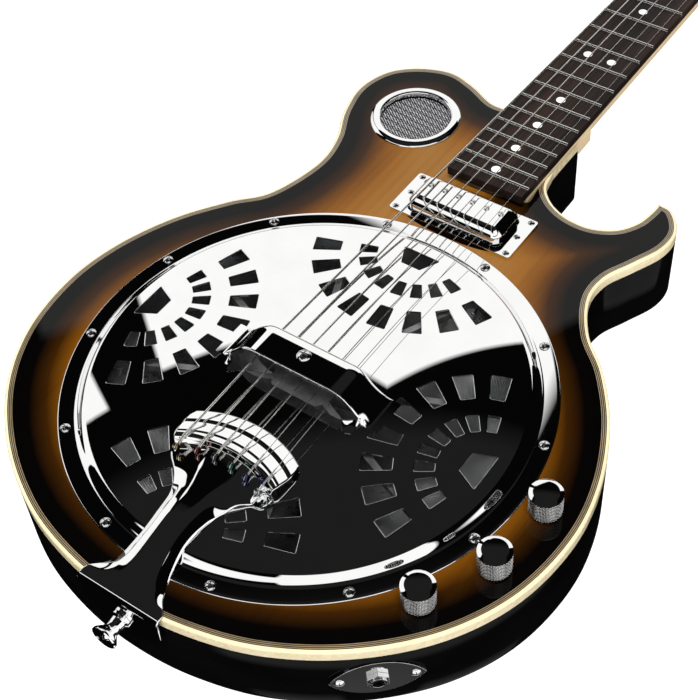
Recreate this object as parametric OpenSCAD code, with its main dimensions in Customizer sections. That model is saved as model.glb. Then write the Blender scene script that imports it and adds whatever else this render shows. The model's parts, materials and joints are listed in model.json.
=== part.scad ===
/* [Scale and neck] */
// String length from the nut to the saddle
scale_length = 647.7; // [620:0.1:660]
// Number of frets
fret_count = 21; // [19:1:22]
// Width of the fingerboard at the nut
nut_width = 43; // [41:0.5:46]
// Width of the fingerboard where it ends over the body
board_end_width = 54.5; // [52:0.5:58]
// Thickness of the fingerboard
board_thickness = 6; // [5:0.5:7]
// Depth of the neck's wood at the heel
heel_depth = 15; // [13:0.5:18]
// Backward tilt of the neck
neck_tilt = 1.27; // [0.5:0.01:2]
// Length of the head past the nut
head_length = 168; // [150:1:180]
// Backward tilt of the head
head_tilt = 6; // [4:0.5:7]

/* [Body] */
// Depth of the body from the back to the top
body_depth = 52; // [48:1:60]
// Thickness of the top plate
top_thickness = 5; // [4:0.5:6]
// Thickness of the back plate
back_thickness = 4; // [3:0.5:5]
// Thickness of the bent sides with their lining
side_thickness = 5; // [4:0.5:7]
// Height of the binding strip
binding_height = 7; // [4:0.5:8]
// Width of the binding strip
binding_width = 2; // [1.5:0.1:2.5]
// Width of the purfling inlaid beside the binding
purfling_width = 3; // [2:0.1:4]

/* [Resonator] */
// Radius of the coverplate
plate_radius = 142; // [141:0.5:143]
// Radius of the circle of coverplate screws
plate_screw_radius = 137.4; // [136:0.1:138]
// Height of the coverplate's crown above the top
plate_crown = 10.5; // [9:0.5:12]
// Thickness of the pressed sheet
sheet = 1.1; // [0.9:0.1:1.4]
// Radius of the resonator cone
cone_radius = 132; // [130:0.5:133]

/* [Strings] */
// Height of the strings above the top at the saddle
saddle_height = 20; // [18:0.5:21]
// Spread of the outer strings at the saddle
saddle_spread = 53.5; // [50:0.5:56]
// Spread of the outer strings at the nut
nut_spread = 36.5; // [34:0.5:38]

/* [Controls] */
// Diameter of the knurled control knobs
knob_diameter = 18.6; // [16:0.2:20]
// Height of the knob tops above the body
knob_height = 16; // [14:0.5:18]
// Bore of the output jack, for a 6.35 mm plug
jack_bore = 6.5; // [6.4:0.05:6.6]

/* [Hidden] */
$fn = 64;
e = 0.01;
far = 400;

// Heights
top_z = body_depth;
top_under = top_z - top_thickness;

// The body's outline, bass side at -X and the head at +Y. The lower bout is symmetric.
neck_half = 27;
body_end_y = 262;
bout_points = [
    [0, -168], [38, -164.5], [78, -152.5], [117, -129], [149, -96.5], [169, -58],
    [176, -15], [171, 24], [156, 62], [135, 93]
];
bass_points = [
    [-117, 114], [-107.5, 150], [-111, 177], [-122.5, 203], [-128, 230], [-121, 254],
    [-104, 269], [-82, 276], [-61, 271], [-42, 262.5], [-neck_half - 1, body_end_y]
];
treble_points = [
    [114, 114], [101, 138], [100.5, 158], [109, 177], [118, 198], [118, 216], [108, 230.5]
];
horn_tip = [97, 233];
cutaway_points = [
    [96, 221], [93, 209.5], [85, 198.5], [71, 192], [55, 192.5], [41, 198.5], [31, 209], [27.2, 224]
];
outline_steps = 6;

// Resonator
plate_y = -5;
well_outer = 140;
well_inner = 134;
ledge_inner = 126;
cone_top = top_under - 1;
fan_pivot = 117;
fan_step = 19;
fan_holes = 8;
screw_count = 12;
plate_shoulder = 127;
plate_shoulder_height = 5.4;

// The opening in the coverplate under the hand rest
mouth_half = 31;
mouth_front = -15;
mouth_back = 11;
rest_half = 56;
rest_top = 28;
rest_front = -17;
rest_depth = 24;
rest_flat = 25;
rest_foot = 46;
rest_edge = 0.35;

// Neck frame
board_end_y = 184;
neck_pivot_y = 192;
neck_pivot_z = top_z + 3.2;
heel_bottom = 39;
heel_start_y = 190;
heel_end_y = 276;
board_end_x = board_end_width / 2;
fret_height = 1.1;
dot_radius = 3.1;
single_dots = [3, 5, 7, 9, 15, 17, 19, 21];
nut_thickness = 5;
nut_height = board_thickness + 3.2;
string_height_nut = board_thickness + 2.2;

// Head frame, from the far side of the nut
head_y = scale_length + nut_thickness;
head_z = neck_pivot_z - tan(neck_tilt) * (head_y - neck_pivot_y);
head_thickness = 13;
post_y = [36, 78, 120];
post_x = [21, 23, 25];
tuner_depth = 11;
post_radius = 3;
running = 0.05;
gear_radius = 4.9;
worm_radius = 1.9;
gear_distance = gear_radius + worm_radius + 0.2;
shaft_drop = head_thickness + 5.5;
wind_height = 8;
ear_screw = [-2.5, -11];
cover_screws = [[0, 31], [8, 8], [-8, 8]];

// Strings, from bass to treble
string_count = 6;
string_radius = [0.71, 0.56, 0.45, 0.33, 0.22, 0.17];
ridge_y = -71.6;
ridge_top = 15.8;
ball_y = -77;
ball_z = top_z + 14.2;
ball_spread = 55.5;
ball_radius = 2;
tube_sides = 8;

// Sound hole
sound_x = -77.2;
sound_y = 222.7;
ring_outer = 30.5;
ring_inner = 24;
ring_sleeve = 26;

// Pickup
pickup_y = 159.3;
frame_size = [87.5, 36.5, 1.6];
frame_screw_x = 40;
frame_screw_y = 15.3;
height_screw_x = 38.7;
pickup_cover_size = [67, 28.5];
pickup_top = 12;
pickup_bottom = -11;
pole_y = pickup_y + 3;
pole_pitch = 10.1;

// Control knobs, along the treble edge of the top
volume_at = [153.9, -4.9];
tone_at = [150, -49.1];
blend_at = [128.9, -87];
pot_radius = 12;
bushing_radius = 4.7;
shaft_radius = 3;

// Output jack on the lower treble side
jack_at = [125.6, -120.9];
jack_turn = -47.5;
jack_arc = 28.8;
jack_plate_half = 14.5;
jack_screw = 19.5;
jack_z = top_z - 26.5;

// Tailpiece and strap buttons
fan_front_y = -49;
fan_bow = 66;
tail_half = 27;
tail_edge_y = -170.5;
strap_z = top_z - 17;

// Catmull-Rom curve through the middle two of four points
function curve_point(a, b, c, d, t) =
    0.5 * (2 * b + (c - a) * t + (2 * a - 5 * b + 4 * c - d) * t * t
    + (3 * b - a - 3 * c + d) * t * t * t);

// Curve through all the points of an open list
function curve(p, steps) = let (
    q = concat([2 * p[0] - p[1]], p, [2 * p[len(p) - 1] - p[len(p) - 2]])
) concat(
    [for (i = [1 : len(q) - 3]) for (s = [0 : steps - 1])
        curve_point(q[i - 1], q[i], q[i + 1], q[i + 2], s / steps)],
    [p[len(p) - 1]]
);

function mirrored(p) = [for (i = [len(p) - 1 : -1 : 1]) [-p[i][0], p[i][1]]];
function reversed(p) = [for (i = [len(p) - 1 : -1 : 0]) p[i]];

// Height of the coverplate's upper face above the top, at a radius from its centre
function plate_height(r) =
    plate_crown - (plate_crown - plate_shoulder_height) * pow(r / plate_shoulder, 2.4);

// Height of the hand rest above the top, across the strings
rest_sill = plate_height(rest_foot) + 0.05;
function rest_height(x) = let (
    foot = rest_sill + rest_edge,
    s = abs(x) < rest_flat ? 1 : (1 + cos(180 * (abs(x) - rest_flat) / (rest_half - rest_flat))) / 2
) foot + (rest_top - foot) * s;

// How far the tailpiece's bowed ridges lie behind their middle, at a place across them
function bow(x) = fan_bow - sqrt(fan_bow * fan_bow - x * x);

function string_x(i, spread) = (i / (string_count - 1) - 0.5) * spread;
function fret_y(n) = scale_length * pow(2, -n / 12);
function board_half(y) =
    nut_width / 2 + (board_end_x - nut_width / 2) * (scale_length - y) / (scale_length - board_end_y);

// Which side of the head a tuner is on, and its row from the nut; 1 to 3 are on the bass side
function tuner_side(n) = n <= 3 ? -1 : 1;
function tuner_row(n) = n <= 3 ? n - 1 : 6 - n;

// ---------------------------------------------------------------- shared shapes

module body_outline(inset = 0) {
    outer = curve(concat(
        reversed(bass_points), mirrored(bout_points), bout_points, treble_points, [horn_tip]
    ), outline_steps);
    inner = curve(concat([horn_tip], cutaway_points), outline_steps);
    offset(delta = -inset)
    polygon(concat(outer, inner, [[neck_half, body_end_y - 4], [neck_half - 4, body_end_y]]));
}

module outline_ring(outer_inset, inner_inset, z, height) {
    translate([0, 0, z])
    linear_extrude(height)
    difference() {
        body_outline(outer_inset);
        body_outline(inner_inset);
    }
}

// Rounded rectangle centred on the origin
module rounded_rectangle(size, r) {
    square([size[0] - 2 * r, size[1]], center = true);
    square([size[0], size[1] - 2 * r], center = true);
    for (x = [-1, 1], y = [-1, 1])
        translate([x * (size[0] / 2 - r), y * (size[1] / 2 - r)])
        circle(r);
}

// Screw with a domed head, pointing down from the origin, with a cross slot
module round_screw(head_r, head_h, shank_r, length) {
    difference() {
        union() {
            intersection() {
                translate([0, 0, head_h - head_r * 1.25])
                sphere(head_r * 1.25);
                cylinder(r = head_r, h = head_h);
            }
            translate([0, 0, -length])
            cylinder(r = shank_r, h = length + e);
        }
        for (turn = [0, 90])
            rotate(turn)
            translate([-head_r * 0.6, -head_r * 0.09, head_h * 0.5])
            cube([head_r * 1.2, head_r * 0.18, head_h]);
    }
}

module on_neck() {
    translate([0, neck_pivot_y, neck_pivot_z])
    rotate([-neck_tilt, 0, 0])
    translate([0, -neck_pivot_y, 0])
    children();
}

module on_head() {
    translate([0, head_y, head_z])
    rotate([-head_tilt, 0, 0])
    children();
}

// Frame of one tuner: origin on the head's face at the post, +X outward
module at_tuner(n) {
    on_head()
    translate([tuner_side(n) * post_x[tuner_row(n)], post_y[tuner_row(n)], 0])
    rotate(tuner_side(n) > 0 ? 0 : 180)
    children();
}

module at_plate() {
    translate([0, plate_y, top_z])
    children();
}

module heel_pocket(slack = 0) {
    translate([-neck_half - slack, heel_start_y - slack, heel_bottom - slack])
    cube([2 * neck_half + 2 * slack, far, far]);
}

module at_jack() {
    translate([jack_at[0], jack_at[1], jack_z])
    rotate([0, 0, jack_turn])
    rotate([0, 90, 0])
    children();
}

// ---------------------------------------------------------------- body

module body_back() {
    color("#141210") {
        linear_extrude(back_thickness / 2)
        body_outline(1.5);
        translate([0, 0, back_thickness / 2 - e])
        linear_extrude(back_thickness / 2 + e)
        body_outline();
    }
}

module body_sides() {
    rabbet_z = top_z - binding_height;
    color("#0c0b0a")
    difference() {
        union() {
            outline_ring(0, side_thickness, back_thickness, rabbet_z - back_thickness);
            outline_ring(binding_width, side_thickness, rabbet_z - e, top_under - rabbet_z + e);
        }
        heel_pocket();
        jack_cutter();
        at_tail_strap()
        cylinder(r = 2.1, h = 60, center = true);
        at_neck_strap()
        cylinder(r = 2.1, h = 60, center = true);
    }
}

// Flat seat and round hole for the jack
module jack_cutter() {
    at_jack() {
        linear_extrude(10)
        jack_plate_outline();
        translate([0, 0, -30])
        cylinder(r = 6.2, h = 40);
    }
}

module body_top() {
    color("#8a4a12")
    difference() {
        translate([0, 0, top_under])
        linear_extrude(top_thickness)
        body_outline(binding_width);
        translate([0, 0, -e])
        outline_ring(0, binding_width + purfling_width, top_z - 0.8, 2);
        translate([0, plate_y, 0])
        cylinder(r = well_inner - 1, h = far, $fn = 128);
        translate([sound_x, sound_y, 0])
        cylinder(r = ring_sleeve + 0.2, h = far);
        translate([0, pickup_y, 0])
        linear_extrude(far)
        square([pickup_cover_size[0] + 4, pickup_cover_size[1] + 4], center = true);
        for (p = [volume_at, tone_at, blend_at])
            translate([p[0], p[1], 0])
            cylinder(r = bushing_radius + 0.1, h = far);
        for (x = [-1, 1] * frame_screw_x, y = [-1, 1] * frame_screw_y)
            translate([x, pickup_y + y, 0])
            cylinder(r = 1.2, h = far);
        for (x = [-1, 1] * height_screw_x)
            translate([x, pickup_y, 0])
            cylinder(r = 1.2, h = far);
        heel_pocket();
        plate_screw_holes(1.5);
    }
}

module plate_screw_holes(r) {
    for (i = [0 : screw_count - 1])
        translate([0, plate_y, 0])
        rotate(15 + i * 360 / screw_count)
        translate([plate_screw_radius, 0, 0])
        cylinder(r = r, h = far, $fn = 24);
}

module binding() {
    color("#efe4c0")
    difference() {
        outline_ring(0, binding_width, top_z - binding_height, binding_height);
        heel_pocket();
    }
}

module purfling() {
    color("#d8d2c4")
    difference() {
        outline_ring(binding_width, binding_width + purfling_width, top_z - 0.8, 0.8);
        heel_pocket();
    }
}

// Wooden blocks glued inside at the neck and at the tail
module end_blocks() {
    color("#c79a63") {
        difference() {
            translate([0, 0, back_thickness])
            linear_extrude(heel_bottom - back_thickness)
            intersection() {
                body_outline(side_thickness);
                translate([-neck_half, heel_start_y])
                square([2 * neck_half - side_thickness, 200]);
            }
            at_neck_strap()
            cylinder(r = 2.1, h = 90, center = true);
        }
        difference() {
            translate([0, 0, back_thickness])
            linear_extrude(top_under - back_thickness)
            intersection() {
                body_outline(side_thickness);
                translate([-30, -200])
                square([60, 52]);
            }
            at_tail_strap()
            cylinder(r = 2.1, h = 90, center = true);
        }
    }
}

module sound_well() {
    color("#b98d57")
    translate([0, plate_y, 0])
    difference() {
        translate([0, 0, back_thickness])
        rotate_extrude($fn = 128)
        polygon([
            [well_inner, 0], [well_outer, 0], [well_outer, top_under - back_thickness],
            [well_inner, top_under - back_thickness], [well_inner, cone_top - back_thickness],
            [ledge_inner, cone_top - back_thickness], [ledge_inner, cone_top - back_thickness - 5],
            [well_inner, cone_top - back_thickness - 5]
        ]);
        for (i = [0 : 7])
            rotate(22.5 + i * 45)
            translate([well_inner - 6, -18, back_thickness + 6])
            cube([14, 36, 18]);
        translate([0, -plate_y, 0])
        plate_screw_holes(1.4);
    }
}

// ---------------------------------------------------------------- resonator

// Spun cone: a rim on the ledge, a dish, and a raised centre
module resonator_cone() {
    wall = 0.8;
    line = [
        [cone_radius, 0], [118, 0], [112, -3], [80, -16], [58, -21], [44, -22], [32, -19],
        [18, -12], [7, -8]
    ];
    color("#a9abad")
    at_plate()
    translate([0, 0, cone_top - top_z])
    difference() {
        rotate_extrude($fn = 128)
        polygon(concat(
            [for (p = line) p], [[0, -7], [0, -7 + wall]],
            [for (i = [len(line) - 1 : -1 : 0]) [line[i][0], line[i][1] + wall]]
        ));
        cylinder(r = 1.9, h = 60, center = true);
    }
}

// Cast bridge support: a hub with a slotted bar and eight legs standing on the cone's rim
module spider() {
    hub_bottom = -1;
    hub_top = 7;
    bar_half = 29.5;
    bar_bottom = 2;
    bar_top = 17;
    color("#9c9ea0")
    at_plate()
    difference() {
        union() {
            translate([0, 0, hub_bottom])
            cylinder(r = 20, h = hub_top - hub_bottom);
            translate([-bar_half, -plate_y - 5, bar_bottom])
            cube([2 * bar_half, 10, bar_top - bar_bottom]);
            for (i = [0 : 7])
                rotate(22.5 + 45 * i)
                rotate([90, 0, 0])
                translate([0, 0, -2])
                linear_extrude(4)
                polygon([
                    [15, hub_bottom], [15, hub_top], [24, hub_top - 1], [118, 2],
                    [124, cone_top - top_z + 1], [116, cone_top - top_z + 1], [110, -2], [30, hub_bottom]
                ]);
        }
        translate([-bar_half, -plate_y - 1.7, hub_bottom + 4])
        cube([2 * bar_half, 3.4, 20]);
        translate([0, 0, hub_bottom - 4])
        cylinder(r = 2.1, h = 20);
        translate([0, 0, 3])
        cylinder(r = 3.6, h = 20);
    }
}

// Maple saddle in two halves, seated in the spider's slot
module saddle() {
    slot_floor = top_z + 3.05;
    color("#c8a26a")
    for (side = [-1, 1])
        translate([side * 14.4 - 14.2, -1.6, slot_floor])
        cube([28.4, 3.2, top_z + saddle_height - slot_floor - 0.9]);
}

module tension_screw() {
    color("#b8b8b8")
    at_plate() {
        translate([0, 0, -18])
        cylinder(r = 1.8, h = 21.2);
        translate([0, 0, 3.1])
        difference() {
            cylinder(r = 3.2, h = 2.2);
            translate([-5, -0.5, 1.2])
            cube([10, 1, 2]);
        }
    }
}

// Pressed sheet: a flat flange, a rounded step and a shallow crown, pierced by four fans
module coverplate() {
    color("#d9dcdf")
    at_plate()
    difference() {
        rotate_extrude($fn = 180)
        polygon(concat(
            [[plate_radius, 0.05], [plate_radius, sheet + 0.05], [131.5, sheet + 0.05]],
            [for (r = [plate_shoulder : -8 : 31]) [r, plate_height(r)]],
            [[0, plate_height(0)], [0, plate_height(0) - sheet]],
            [for (r = [31 : 8 : plate_shoulder]) [r, plate_height(r) - sheet]],
            [[130.5, 0.05]]
        ));
        for (i = [0 : 3])
            rotate(i * 90)
            translate([fan_pivot, 0, 0])
            rotate(180)
            fan_cutter();
        translate([0, (mouth_front + mouth_back) / 2, 0])
        linear_extrude(far)
        rounded_rectangle([2 * mouth_half, mouth_back - mouth_front], 4);
        translate([0, -plate_y, -top_z])
        plate_screw_holes(1.6);
    }
}

// One fan: a keystone by the pivot, an arc of small holes and an arc of large holes
module fan_cutter() {
    linear_extrude(far) {
        polygon([[-1, -12.5], [-1, 12.5], [12, 6.5], [12, -6.5]]);
        for (i = [0 : fan_holes - 1])
            rotate((i - (fan_holes - 1) / 2) * fan_step) {
                polygon([[26.5, -2.6], [26.5, 2.6], [37.5, 3.7], [37.5, -3.7]]);
                polygon([[49, -4], [49, 4], [66, 5.8], [66, -5.8]]);
            }
    }
}

module coverplate_screws() {
    color("#e4e6e8")
    at_plate()
    for (i = [0 : screw_count - 1])
        rotate(15 + i * 360 / screw_count)
        translate([plate_screw_radius, 0, sheet + 0.06])
        round_screw(3, 1.7, 1.3, 8, $fn = 24);
}

// Pressed arch over the bridge, open towards the neck and the tail
module hand_rest() {
    step = 4;
    color("#d9dcdf")
    difference() {
        translate([0, rest_front + rest_depth, top_z])
        rotate([90, 0, 0])
        linear_extrude(rest_depth)
        polygon(concat(
            [for (x = [-rest_half : step : rest_half]) [x, rest_height(x)]],
            [for (x = [rest_half : -step : -rest_half]) [x, max(rest_height(x) - sheet, rest_sill)]]
        ));
        translate([0, plate_y, 0])
        cylinder(r = 1.7, h = far);
    }
}

module hand_rest_screw() {
    color("#e4e6e8")
    at_plate()
    translate([0, 0, rest_top + 0.06])
    round_screw(4.2, 2.2, 1.5, 5);
}

// ---------------------------------------------------------------- sound hole and pickup

module sound_hole_ring() {
    color("#dadde0")
    translate([sound_x, sound_y, top_z])
    rotate_extrude($fn = 96)
    polygon([
        [ring_outer, 0.05], [ring_outer - 0.6, 1.5], [ring_outer - 2, 2.2], [ring_inner + 2, 2.2],
        [ring_inner + 0.6, 1.4], [ring_inner, -0.6], [ring_inner, -3.4], [ring_inner - 1, -3.4],
        [ring_inner - 1, -5], [ring_sleeve, -5], [ring_sleeve, 0.05]
    ]);
}

module sound_hole_mesh() {
    color("#3a3a3a")
    translate([sound_x, sound_y, top_z - 3.35])
    cylinder(r = ring_inner - 0.1, h = 0.8, $fn = 96);
}

module pickup_frame() {
    color("#dcdfe2")
    translate([0, pickup_y, top_z + 0.05])
    difference() {
        linear_extrude(frame_size[2])
        rounded_rectangle([frame_size[0], frame_size[1]], 2);
        translate([0, 0, -1])
        linear_extrude(10)
        rounded_rectangle([pickup_cover_size[0] + 0.4, pickup_cover_size[1] + 0.4], 4.2);
        for (x = [-1, 1] * frame_screw_x, y = [-1, 1] * frame_screw_y)
            translate([x, y, -1])
            cylinder(r = 1.3, h = 10);
        for (x = [-1, 1] * height_screw_x)
            translate([x, 0, -1])
            cylinder(r = 1.3, h = 10);
    }
}

// Pressed cover, open underneath
module pickup_cover() {
    height = pickup_top - pickup_bottom;
    color("#e0e3e6")
    translate([0, pickup_y, top_z + pickup_bottom])
    difference() {
        linear_extrude(height)
        rounded_rectangle(pickup_cover_size, 4);
        translate([0, 0, -1])
        linear_extrude(height)
        rounded_rectangle([pickup_cover_size[0] - 2, pickup_cover_size[1] - 2], 3);
        for (i = [0 : string_count - 1])
            translate([string_x(i, 5 * pole_pitch), pole_y - pickup_y, 0])
            cylinder(r = 1.9, h = far);
    }
}

// Bobbin with its winding, the bar magnet and the base plate
module pickup_coil() {
    color("#7a3b1a")
    translate([0, pole_y, top_z + pickup_bottom])
    difference() {
        union() {
            translate([0, pickup_y - pole_y, 0])
            linear_extrude(2)
            rounded_rectangle([64, 25.5], 2);
            translate([0, 0, 2 - e])
            linear_extrude(18.5)
            rounded_rectangle([60, 9], 4.4);
        }
        for (i = [0 : string_count - 1])
            translate([string_x(i, 5 * pole_pitch), 0, -1])
            cylinder(r = 1.45, h = far);
    }
}

module pickup_pole_screws() {
    color("#c9ccd0")
    for (i = [0 : string_count - 1])
        translate([string_x(i, 5 * pole_pitch), pole_y, top_z + pickup_top - 1])
        difference() {
            union() {
                cylinder(r = 1.8, h = 1.8);
                translate([0, 0, -19])
                cylinder(r = 1.35, h = 19 + e);
            }
            translate([-3, -0.3, 1.1])
            cube([6, 0.6, 2]);
        }
}

// Four corner screws into the top and two that set the pickup's height
module pickup_frame_screws() {
    seat = top_z + frame_size[2] + 0.06;
    color("#c9ccd0") {
        for (x = [-1, 1] * frame_screw_x, y = [-1, 1] * frame_screw_y)
            translate([x, pickup_y + y, seat])
            round_screw(2.2, 1.1, 1.15, 7, $fn = 24);
        for (x = [-1, 1] * height_screw_x)
            translate([x, pickup_y, seat])
            round_screw(2.2, 1.1, 1.15, 4, $fn = 24);
    }
}

// ---------------------------------------------------------------- controls

module at_pots() {
    for (p = [volume_at, tone_at, blend_at])
        translate([p[0], p[1], top_z])
        children();
}

// Potentiometer: a can under the top, with a bushing that stands through it
module pot_housings() {
    can_height = 9;
    can_top = -top_thickness - 0.1;
    color("#b9bcb8")
    at_pots()
    difference() {
        union() {
            translate([0, 0, can_top - can_height])
            cylinder(r = pot_radius, h = can_height);
            translate([0, 0, can_top - e])
            cylinder(r = bushing_radius, h = 3.2 - can_top);
        }
        translate([0, 0, can_top - 7])
        cylinder(r = shaft_radius + running, h = 30);
    }
}

// Hexagon nuts on the three bushings and on the jack
module control_nuts() {
    color("#cfd2d5") {
        at_pots()
        translate([0, 0, 0.1])
        hex_nut(2.4);
        at_jack()
        translate([0, 0, 1.7])
        hex_nut(2.4);
    }
}

module hex_nut(height) {
    difference() {
        cylinder(r = 6.4, h = height, $fn = 6);
        translate([0, 0, -1])
        cylinder(r = bushing_radius + 0.05, h = height + 2);
    }
}

// Barrel knob with a hollow underside over the nut
module knob(at) {
    foot = 0.8;
    translate([at[0], at[1], top_z])
    difference() {
        union() {
            translate([0, 0, foot])
            cylinder(r = knob_diameter / 2, h = knob_height - foot - 1);
            translate([0, 0, knob_height - 1 - e])
            cylinder(r1 = knob_diameter / 2, r2 = knob_diameter / 2 - 0.9, h = 1 + e, $fn = 96);
        }
        translate([0, 0, foot - 1])
        cylinder(r = 7.4, h = 4.2);
        cylinder(r = shaft_radius + 0.02, h = 12.6);
    }
}

module pot_shaft(at) {
    translate([at[0], at[1], top_z - top_thickness - 6.6])
    cylinder(r = shaft_radius, h = top_thickness + 6.6 + 12.4);
}

module volume_knob() { color("#cfd3d6") knob(volume_at); }
module tone_knob() { color("#cfd3d6") knob(tone_at); }
module blend_knob() { color("#cfd3d6") knob(blend_at); }
module volume_shaft() { color("#c8b070") pot_shaft(volume_at); }
module tone_shaft() { color("#c8b070") pot_shaft(tone_at); }
module blend_shaft() { color("#c8b070") pot_shaft(blend_at); }

// Pointed oval made by two crossing circles, long way across the side
module jack_plate_outline() {
    intersection_for(side = [-1, 1])
        translate([side * (jack_arc - jack_plate_half), 0])
        circle(jack_arc, $fn = 96);
}

module jack_plate() {
    color("#d6d9dc")
    at_jack()
    difference() {
        translate([0, 0, 0.05])
        linear_extrude(1.6)
        jack_plate_outline();
        translate([0, 0, -1])
        cylinder(r = bushing_radius + 0.1, h = 8);
        for (y = [-1, 1])
            translate([0, y * jack_screw, -1])
            cylinder(r = 1.5, h = 8);
    }
}

// Socket with its threaded barrel, bored for the plug
module jack_socket() {
    color("#b9bcbf")
    at_jack()
    difference() {
        union() {
            translate([0, 0, -24])
            cylinder(r = 6, h = 23.9);
            translate([0, 0, -2])
            cylinder(r = bushing_radius, h = 7.2);
        }
        translate([0, 0, -22])
        cylinder(d = jack_bore, h = 40);
    }
}

module jack_plate_screws() {
    color("#d6d9dc")
    at_jack()
    for (y = [-1, 1])
        translate([0, y * jack_screw, 1.7])
        round_screw(2.8, 1.4, 1.3, 1.6, $fn = 24);
}

// ---------------------------------------------------------------- tailpiece and strap buttons

// Plan of the tailpiece: a fan at the strings, a narrow shank, and a flare at the body's edge
module tailpiece_plan() {
    side = [
        [34.6, -58], [36.4, -65], [35, -77], [29, -87], [20, -98], [14.5, -112], [13, -128],
        [15, -143], [20, -156], [tail_half, -167]
    ];
    half = curve(side, 4);
    front = [for (a = [-28 : 7 : 28]) (fan_bow + 2) * [sin(a), cos(a)] + [0, fan_front_y - fan_bow]];
    polygon(concat(
        front, half, [[tail_half, tail_edge_y], [-tail_half, tail_edge_y]],
        [for (p = reversed(half)) [-p[0], p[1]]]
    ));
}

// Plan of everything behind a bowed line, given its distance behind the tailpiece's front
module behind_bow(distance) {
    translate([0, fan_front_y - fan_bow - distance])
    circle(fan_bow, $fn = 180);
}

// Three bowed terraces that step up towards the tail, and the trough behind them for the ball ends
module tailpiece_fan() {
    terraces = [[0, 13.7], [8.9, 14.9], [17.7, 15.8]];
    underside = 11.2;
    trough_start = 23.5;
    trough_floor = 12.4;
    fan_end_y = -94;
    difference() {
        for (t = terraces)
            translate([0, 0, underside])
            linear_extrude(t[1] - underside)
            behind_bow(t[0]);
        translate([0, 0, trough_floor])
        linear_extrude(20)
        behind_bow(trough_start);
        translate([-far / 2, fan_end_y - far, 0])
        cube(far);
    }
}

// Side view of the tailpiece behind the fan, as distance along Y and height above the top
module tailpiece_profile() {
    polygon([
        [-74, 11.2], [-74, 12.4], [-90, 12.4], [-93, 14.3], [-98, 14.6], [-112, 13.2], [-126, 10.2],
        [-140, 6], [-152, 3], [-160, 2.3], [-169, 2.2], [tail_edge_y, 0.7], [tail_edge_y, -2],
        [-168.4, -2], [-168.4, 0.1], [-155, 0.1], [-147, 1.9], [-140, 3.4], [-126, 6.9],
        [-112, 10], [-96, 11.2]
    ]);
}

// Shield-shaped tongue that folds down over the side
module tongue_outline() {
    half = [for (a = [0 : 15 : 90]) [14 * cos(a) + 6.5 * pow(cos(a), 3), -15 - 14.5 * sin(a)]];
    polygon(concat(
        [[tail_half, 0], [tail_half, -3]],
        half,
        [for (p = reversed(half)) [-p[0], p[1]]],
        [[-tail_half, -3], [-tail_half, 0]]
    ));
}

module tailpiece() {
    color("#d4d7da")
    difference() {
        union() {
            intersection() {
                translate([0, 0, top_z - 20])
                linear_extrude(60)
                tailpiece_plan();
                translate([0, 0, top_z]) {
                    tailpiece_fan();
                    translate([-60, 0, 0])
                    rotate([90, 0, 90])
                    linear_extrude(120)
                    tailpiece_profile();
                }
            }
            translate([0, -168.4, top_z])
            rotate([90, 0, 0])
            linear_extrude(-168.4 - tail_edge_y)
            tongue_outline();
        }
        at_tail_strap()
        cylinder(r = 2.4, h = 60, center = true);
    }
}

module at_tail_strap() {
    translate([0, tail_edge_y, strap_z])
    rotate([90, 0, 0])
    children();
}

module at_neck_strap() {
    translate([-10, body_end_y, strap_z - 10])
    rotate([-90, 0, 0])
    children();
}

// Button turned from bar, with its fixing screw through the middle
module strap_button() {
    translate([0, 0, 0.05])
    rotate_extrude()
    polygon([
        [2.3, 0], [6.2, 0], [6.2, 1.6], [4.6, 2.6], [4.2, 6], [4.6, 9], [7.6, 12.6],
        [7.8, 14], [7.2, 14.6], [5, 13.6], [2.3, 13]
    ]);
    translate([0, 0, 13.4])
    round_screw(3.4, 1.2, 2, 36);
}

module strap_buttons() {
    color("#d6d9dc") {
        at_tail_strap()
        strap_button();
        at_neck_strap()
        strap_button();
    }
}

// ---------------------------------------------------------------- neck

// Section of the neck: flat on top and round underneath
module neck_section(half, depth) {
    polygon(concat(
        [[half, 0], [-half, 0]],
        [for (a = [170 : -10 : 10]) let (k = pow(sin(a), 0.8)) [-half * cos(180 - a), -3 - (depth - 3) * k]]
    ));
}

module neck_slice(y, half, depth) {
    translate([0, y, 0])
    rotate([90, 0, 0])
    linear_extrude(0.5)
    neck_section(half, depth);
}

module head_outline() {
    side = [
        [nut_width / 2, -14], [nut_width / 2, 0], [26, 12], [34, 24], [36.5, 40], [38, 80],
        [40, 125], [40.5, 148], [34, 161], [18, 166], [0, head_length]
    ];
    half = curve(side, 5);
    polygon(concat(half, [for (i = [len(half) - 2 : -1 : 0]) [-half[i][0], half[i][1]]]));
}

module neck() {
    color("#e3c48d")
    difference() {
        union() {
            on_neck()
            hull() {
                neck_slice(heel_end_y - 2, board_half(heel_end_y) - 0.2, heel_depth);
                neck_slice(scale_length + 2, nut_width / 2 - 0.1, heel_depth - 1);
            }
            intersection() {
                translate([0, 0, heel_bottom])
                linear_extrude(60)
                polygon([
                    [-neck_half, heel_start_y], [neck_half, heel_start_y],
                    [board_half(heel_end_y) - 0.2, heel_end_y], [0.2 - board_half(heel_end_y), heel_end_y]
                ]);
                on_neck()
                translate([-50, 0, -40])
                cube([100, 500, 40]);
            }
            on_head()
            translate([0, 0, -head_thickness])
            linear_extrude(head_thickness)
            head_outline();
        }
        on_neck() {
            translate([-3, 205, -9])
            cube([6, head_y - 205 + 12, 20]);
            translate([-50, heel_start_y, 0])
            cube([100, scale_length + nut_thickness - heel_start_y, 40]);
        }
        for (n = [1 : 6])
            at_tuner(n) {
                translate([0, 0, -head_thickness - 1])
                cylinder(r = 5.05, h = head_thickness + 2);
                translate([ear_screw[0], ear_screw[1], -head_thickness - 1])
                cylinder(r = 1.05, h = 8);
            }
        on_head()
        for (p = cover_screws)
            translate([p[0], p[1], -6])
            cylinder(r = 1.05, h = 10);
    }
}

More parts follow.
